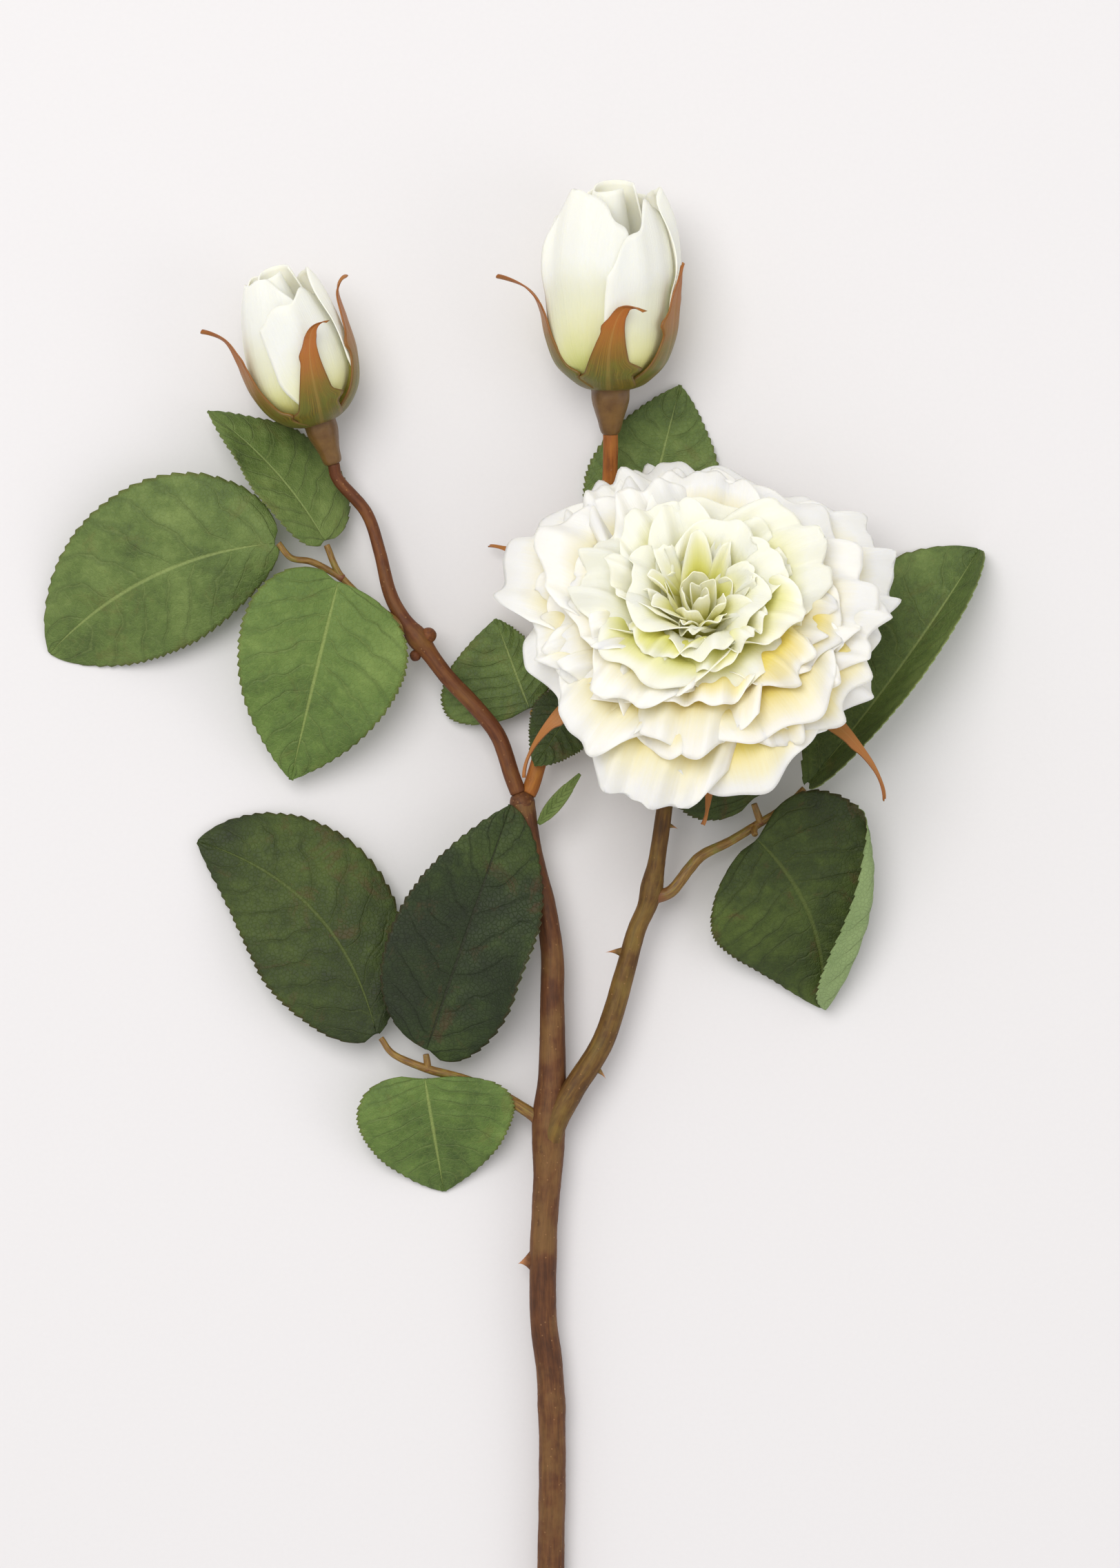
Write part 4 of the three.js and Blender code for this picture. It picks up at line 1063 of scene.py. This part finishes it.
def petal(profile, half_width, claw, reach=1.0, lap=PETAL_LAP, crown=0.22, ruffle=0.0, curl=0.0, seed=0.0,
          waves=3.0, crease=0.0, least=0.5, tilt=0.0):
    """A petal centred over the flower's +X, wrapped round its axis, with a wavy rim."""

    def surface(u, v):
        ragged = 0.035 * sin(waves * 2.3 * v + seed * 3) + 0.015 * sin(9.1 * v + seed)
        t = min(1, u * (reach * (1 - crown * abs(v) ** 2.6) + (ragged - tilt * (1 + v)) * u**2))
        at = profile(t)
        along = (profile(min(1, t + 0.01)) - profile(max(0, t - 0.01))).normalized()
        edge = smooth((u - 0.35) / 0.65)
        wave = sin(waves * pi * v + seed) + 0.45 * sin(waves * 2.1 * pi * v + seed * 2.7 + 2 * u)
        offset = lap * v * min(1, u / 0.3) + ruffle * edge**1.5 * wave
        offset += crease * exp(-((v / 0.3) ** 2)) * edge - curl * edge**4
        radius = max(0.4, at.x - along.y * offset)
        height = at.y + along.x * offset
        width = half_width * (claw + (1 - claw) * smooth(u / 0.7))
        angle = v * width / max(radius, least)
        return Vector((radius * cos(angle), radius * sin(angle), height))

    return surface


def rolled_heart(foot, radius, length, turns, wobble):
    def surface(u, v):
        turn = (v + 1) / 2
        loose = radius * (1 - 0.62 * turn)
        tight = foot * (1 - 0.7 * turn)
        wrap = tight + (loose - tight) * sin(pi * 0.88 * u**0.7)
        wrap += wobble * u**3 * sin(9 * v + 2)
        angle = turn * turns * 2 * pi
        height = 0.9 + u * (length - 0.9) * (1 - 0.06 * turn) + wobble * u**4 * sin(7 * v)
        return Vector((wrap * cos(angle), wrap * sin(angle), height))

    return surface


def grow_bud(side, place, form, radius, length, start, hip_length, sepals, rims):
    hip = HIP_RADIUS[side]
    count = len(rims)
    profile = profile_through([(hip * 0.95, 0.9), *((r * radius, h * length) for r, h in form)])

    def outside(share, distance):
        at = profile(share)
        along = (profile(share + 0.01) - profile(share - 0.01)).normalized()
        return at.x + along.y * distance, at.y - along.x * distance

    grow_calyx(
        side + "_bud_calyx",
        place,
        [(0, -hip_length), (SHOOT_RADIUS + 0.1, -hip_length), (hip * 0.68, -hip_length * 0.72),
         (hip * 0.96, -hip_length * 0.36), (hip, -1.8), (hip * 1.05, 0), (0, 0.2)],
        [
            (
                angle,
                [(hip * 0.5, -0.9), outside(0.07, 1.9), outside(0.16 * reach, 1.6),
                 outside(0.27 * reach, 1.7), outside(0.42 * reach, 1.8),
                 outside(0.56 * reach, 1.9 + 0.08 * spread),
                 outside(0.67 * reach, 2.1 + 0.4 * spread), outside(0.73 * reach, 2.4 + 1.15 * spread)],
                radius * 0.46,
                hook,
            )
            for angle, hook, spread, reach in sepals
        ],
        BUD_TIP_CURL,
    )
    for n, (reach, crown, tilt, ruffle) in enumerate(rims):
        surface = petal(
            profile, radius * pi / count * 1.4, 0.1, reach, PETAL_THICKNESS + 0.45, crown, ruffle=ruffle,
            curl=0.3 + 0.5 * vary(n, 3), seed=n * 1.3, waves=1.2 + ruffle, least=radius * 0.74, tilt=tilt,
        )
        shape = Shape()
        turned = place @ Matrix.Rotation(radians(start + 360 * n / count), 4, "Z")
        add_sheet(shape, surface, lambda u, v: 0.55 - 0.25 * u, 44, 36, turned, seed=n + 0.3)
        shape.grow(f"{side}_bud_petal_{n + 1}", bud_petal_skin)
    heart = rolled_heart(hip * 0.95 - PETAL_THICKNESS - GAP, radius * 0.7, length, 1.5, 0.7)
    shape = Shape()
    add_sheet(shape, heart, 0.5, 40, 90, place)
    shape.grow(f"{side}_bud_heart", bud_petal_skin)


grow_bud("left", left_bud_place, LEFT_BUD_FORM, LEFT_BUD_RADIUS, LEFT_BUD_LENGTH, -60, LEFT_HIP,
         [(-84, 9, 1, 1), (-12, 9, 5, 1.15), (60, 0, 0, 0.8), (132, 0, 0, 0.8), (200, -4, 8, 1.05)],
         [(0.87, 0.2, 0.03, 0.5), (0.95, 0.24, 0.02, 0.7), (0.98, 0.24, 0, 0.8), (1, 0.2, 0, 0.5)])
grow_bud("right", right_bud_place, RIGHT_BUD_FORM, RIGHT_BUD_RADIUS, RIGHT_BUD_LENGTH, -50, RIGHT_HIP,
         [(-94, 10, 1, 0.85), (-22, 2, 0.5, 1), (50, 0, 0, 0.85), (122, 0, 0, 0.85), (192, -4, 9, 0.95)],
         [(0.84, 0.2, -0.07, 0.5), (0.98, 0.22, 0, 1.1), (1, 0.2, 0, 1.3), (0.88, 0.24, 0.01, 0.8),
          (1, 0.2, 0.01, 0.6)])

# ---- Bloom ----
# A full garden bloom: rings of broad cupped petals with wavy rims, lapping like tiles, round a
# crowded middle of small upright petals. White at the rims, deepening to ochre between the rings,
# partly as painted shade, and to a greenish yellow in the heart.

outer_skin = petal_finish(
    "outer_petal_skin", rgb(214, 164, 40), rgb(240, 214, 112), rgb(247, 238, 196), rgb(248, 246, 236),
    rgb(226, 204, 84))
inner_skin = petal_finish(
    "inner_petal_skin", rgb(206, 198, 62), rgb(228, 224, 120), rgb(241, 238, 182), rgb(248, 247, 226),
    rgb(196, 210, 88))


def petal_profile(points):
    """The petal's middle line from the seat to the rim, drawn with two handles."""
    a, b, c, d = (Vector((r, h, 0)) for r, h in points)
    return lambda t: a * (1 - t) ** 3 + b * (3 * t * (1 - t) ** 2) + c * (3 * t * t * (1 - t)) + d * t**3


def add_petal(shape, surface, angle, order, ochre_and_shade, u_steps, v_steps):
    turned = bloom_place @ Matrix.Rotation(radians(angle), 4, "Z")
    seed = order + 0.98 * min(max(ochre_and_shade, 0), 1)
    add_sheet(shape, surface, lambda u, v: 0.42 - 0.24 * u, u_steps, v_steps, turned, seed=seed)


# The heart: ten small upright petals that stand close together, most of them pointed.
heart = Shape()
for n in range(10):
    far = 1.4 + 0.8 * n
    tall = 27.6 + 2.6 * vary(n, 2) - 0.1 * n
    profile = petal_profile([(0.7 + 0.12 * n, 1), (0.9 + 0.22 * n, 12), (0.5 + far, 20), (far, tall)])
    surface = petal(profile, 2.6 + 0.36 * n, 0.3, crown=0.36 + 0.14 * vary(n, 5), lap=0.25, ruffle=0.3,
                    seed=n * 2.1, waves=1.2, crease=-1.1 * (n % 2) - 0.3, curl=0.2)
    add_petal(heart, surface, 137.5 * n, n, 0.55, 26, 20)
heart.grow("bloom_heart", inner_skin)

inner_whorl = Shape()
for n in range(15):
    rim = 13.5 + 3 * vary(n, 4)
    profile = petal_profile([(3.2, 1.4), (4.4, 14), (8 + 1.2 * vary(n, 1), 25), (rim, 32 + 2.6 * vary(n, 6))])
    surface = petal(profile, 4.1 + 1.2 * vary(n, 3), 0.2, crown=0.5 + 0.14 * vary(n, 9), lap=0.6, ruffle=0.7,
                    seed=n * 1.7, waves=1.3, crease=2.6 * vary(n, 8), curl=0.5 + 0.9 * vary(n, 2))
    add_petal(inner_whorl, surface, 24 * n + 9 * vary(n, 9), 10 + n, 0.6 + 0.25 * vary(n, 6), 28, 20)
inner_whorl.grow("bloom_inner_whorl", inner_skin)

middle_whorl = Shape()
for n in range(7):
    rim = 20.5 + 3 * vary(n, 2)
    tall = 34 + 1.4 * vary(n, 5)
    profile = petal_profile([(4.8, 1.3), (7.8, 15), (12 + 1.4 * vary(n, 1), 31), (rim, tall)])
    surface = petal(profile, 11.5 + 1.6 * vary(n, 3), 0.13, crown=0.3 + 0.1 * vary(n, 6), lap=1.1, ruffle=1.2,
                    seed=n * 2.3 + 1, waves=1.8, crease=2 * vary(n, 7), curl=1.2 + vary(n, 1))
    add_petal(middle_whorl, surface, 51.4 * n + 9 * vary(n, 4) + 12, 20 + n, 0.3 + 0.2 * vary(n, 3), 30, 30)
middle_whorl.grow("bloom_middle_whorl", inner_skin)

# The rings: behind each broad petal a second, shorter one fills the gap to the next ring in; on the
# stem's side there are two. There the ochre at the petals' feet is painted further up, as painted shade in
# the gaps between the rings.
RINGS = (
    ("bloom_inner_petal", 20, (0, 73, 143, 216, 288), 20, 0.12, [(6.6, 1.2), (12, 13), (20, 34), (33, 27)],
     [(6, 1.2), (10.4, 14), (17, 34), (27.5, 31)], 14),
    ("bloom_middle_petal", 0, (0, 52, 104, 154, 206, 257, 309), 21, 0.1,
     [(8, 1), (18, 13), (32, 28), (44, 18)], [(7.4, 1.1), (15, 13), (26, 32), (38.5, 23.5)], 17),
    ("bloom_outer_petal", 22, (0, 45, 90, 135, 180, 225, 270, 315), 22, 0.1,
     [(9.4, 0.8), (24, 12), (40, 20), (52, 6)], [(8.8, 0.9), (21, 12.6), (36, 25), (48, 12.5)], 18),
)
for ring, (name, start, angles, half_width, claw, points, short_points, short_width) in enumerate(RINGS):
    skin = inner_skin if ring == 0 else outer_skin
    for n, angle in enumerate(angles):
        stem_side = 0.5 - 0.5 * sin(radians(start + angle))
        # Painted shade: the more a petal faces the stem's side, the further up its deep ochre is painted; the
        # vary term is its own random tone.
        ochre_and_shade = 0.15 + 0.6 * stem_side + 0.2 * vary(n, 4)
        shape = Shape()
        surface = petal(
            petal_profile(points), half_width, claw, 0.95 + 0.06 * vary(n, len(angles)),
            crown=0.2 + 0.1 * vary(n, 1),
            ruffle=1.9 + 0.7 * vary(n, 2), curl=1.4 + 2.2 * vary(n, 6), seed=n * 1.9 + ring,
            waves=2.5 + 0.9 * vary(n, 5), crease=2.2 * vary(n, 8), tilt=0.06 * vary(n, 3),
        )
        add_petal(shape, surface, start + angle + 4 * vary(n, 9), 30 + 10 * ring + n, ochre_and_shade, 40, 48)
        for extra in range(2 if stem_side > 0.4 else 1):
            shrink = 1 - 0.07 * extra
            line = petal_profile([(r * shrink, h * (1 + 0.05 * extra)) for r, h in short_points])
            surface = petal(
                line, short_width * (1 - 0.3 * extra), claw, 0.92 + 0.08 * vary(n, 3 + extra),
                crown=0.26 + 0.12 * vary(n, 6 + extra), ruffle=1.7 + 0.5 * vary(n, 9 + extra),
                curl=0.6 + 1.5 * vary(n, 4), seed=n * 2.7 + ring + 4 + extra, waves=2.6, lap=1.2,
                crease=2 * vary(n, 2 + extra),
            )
            turn = start + angle + 22 + 12 * vary(n, 7) - 26 * extra
            # The shorter petals lie deeper in the gaps, so their ochre is painted further up still, as
            # painted shade.
            add_petal(shape, surface, turn, 60 + 10 * ring + n + 30 * extra, ochre_and_shade + 0.2, 36, 40)
        shape.grow(f"{name}_{n + 1}", skin)
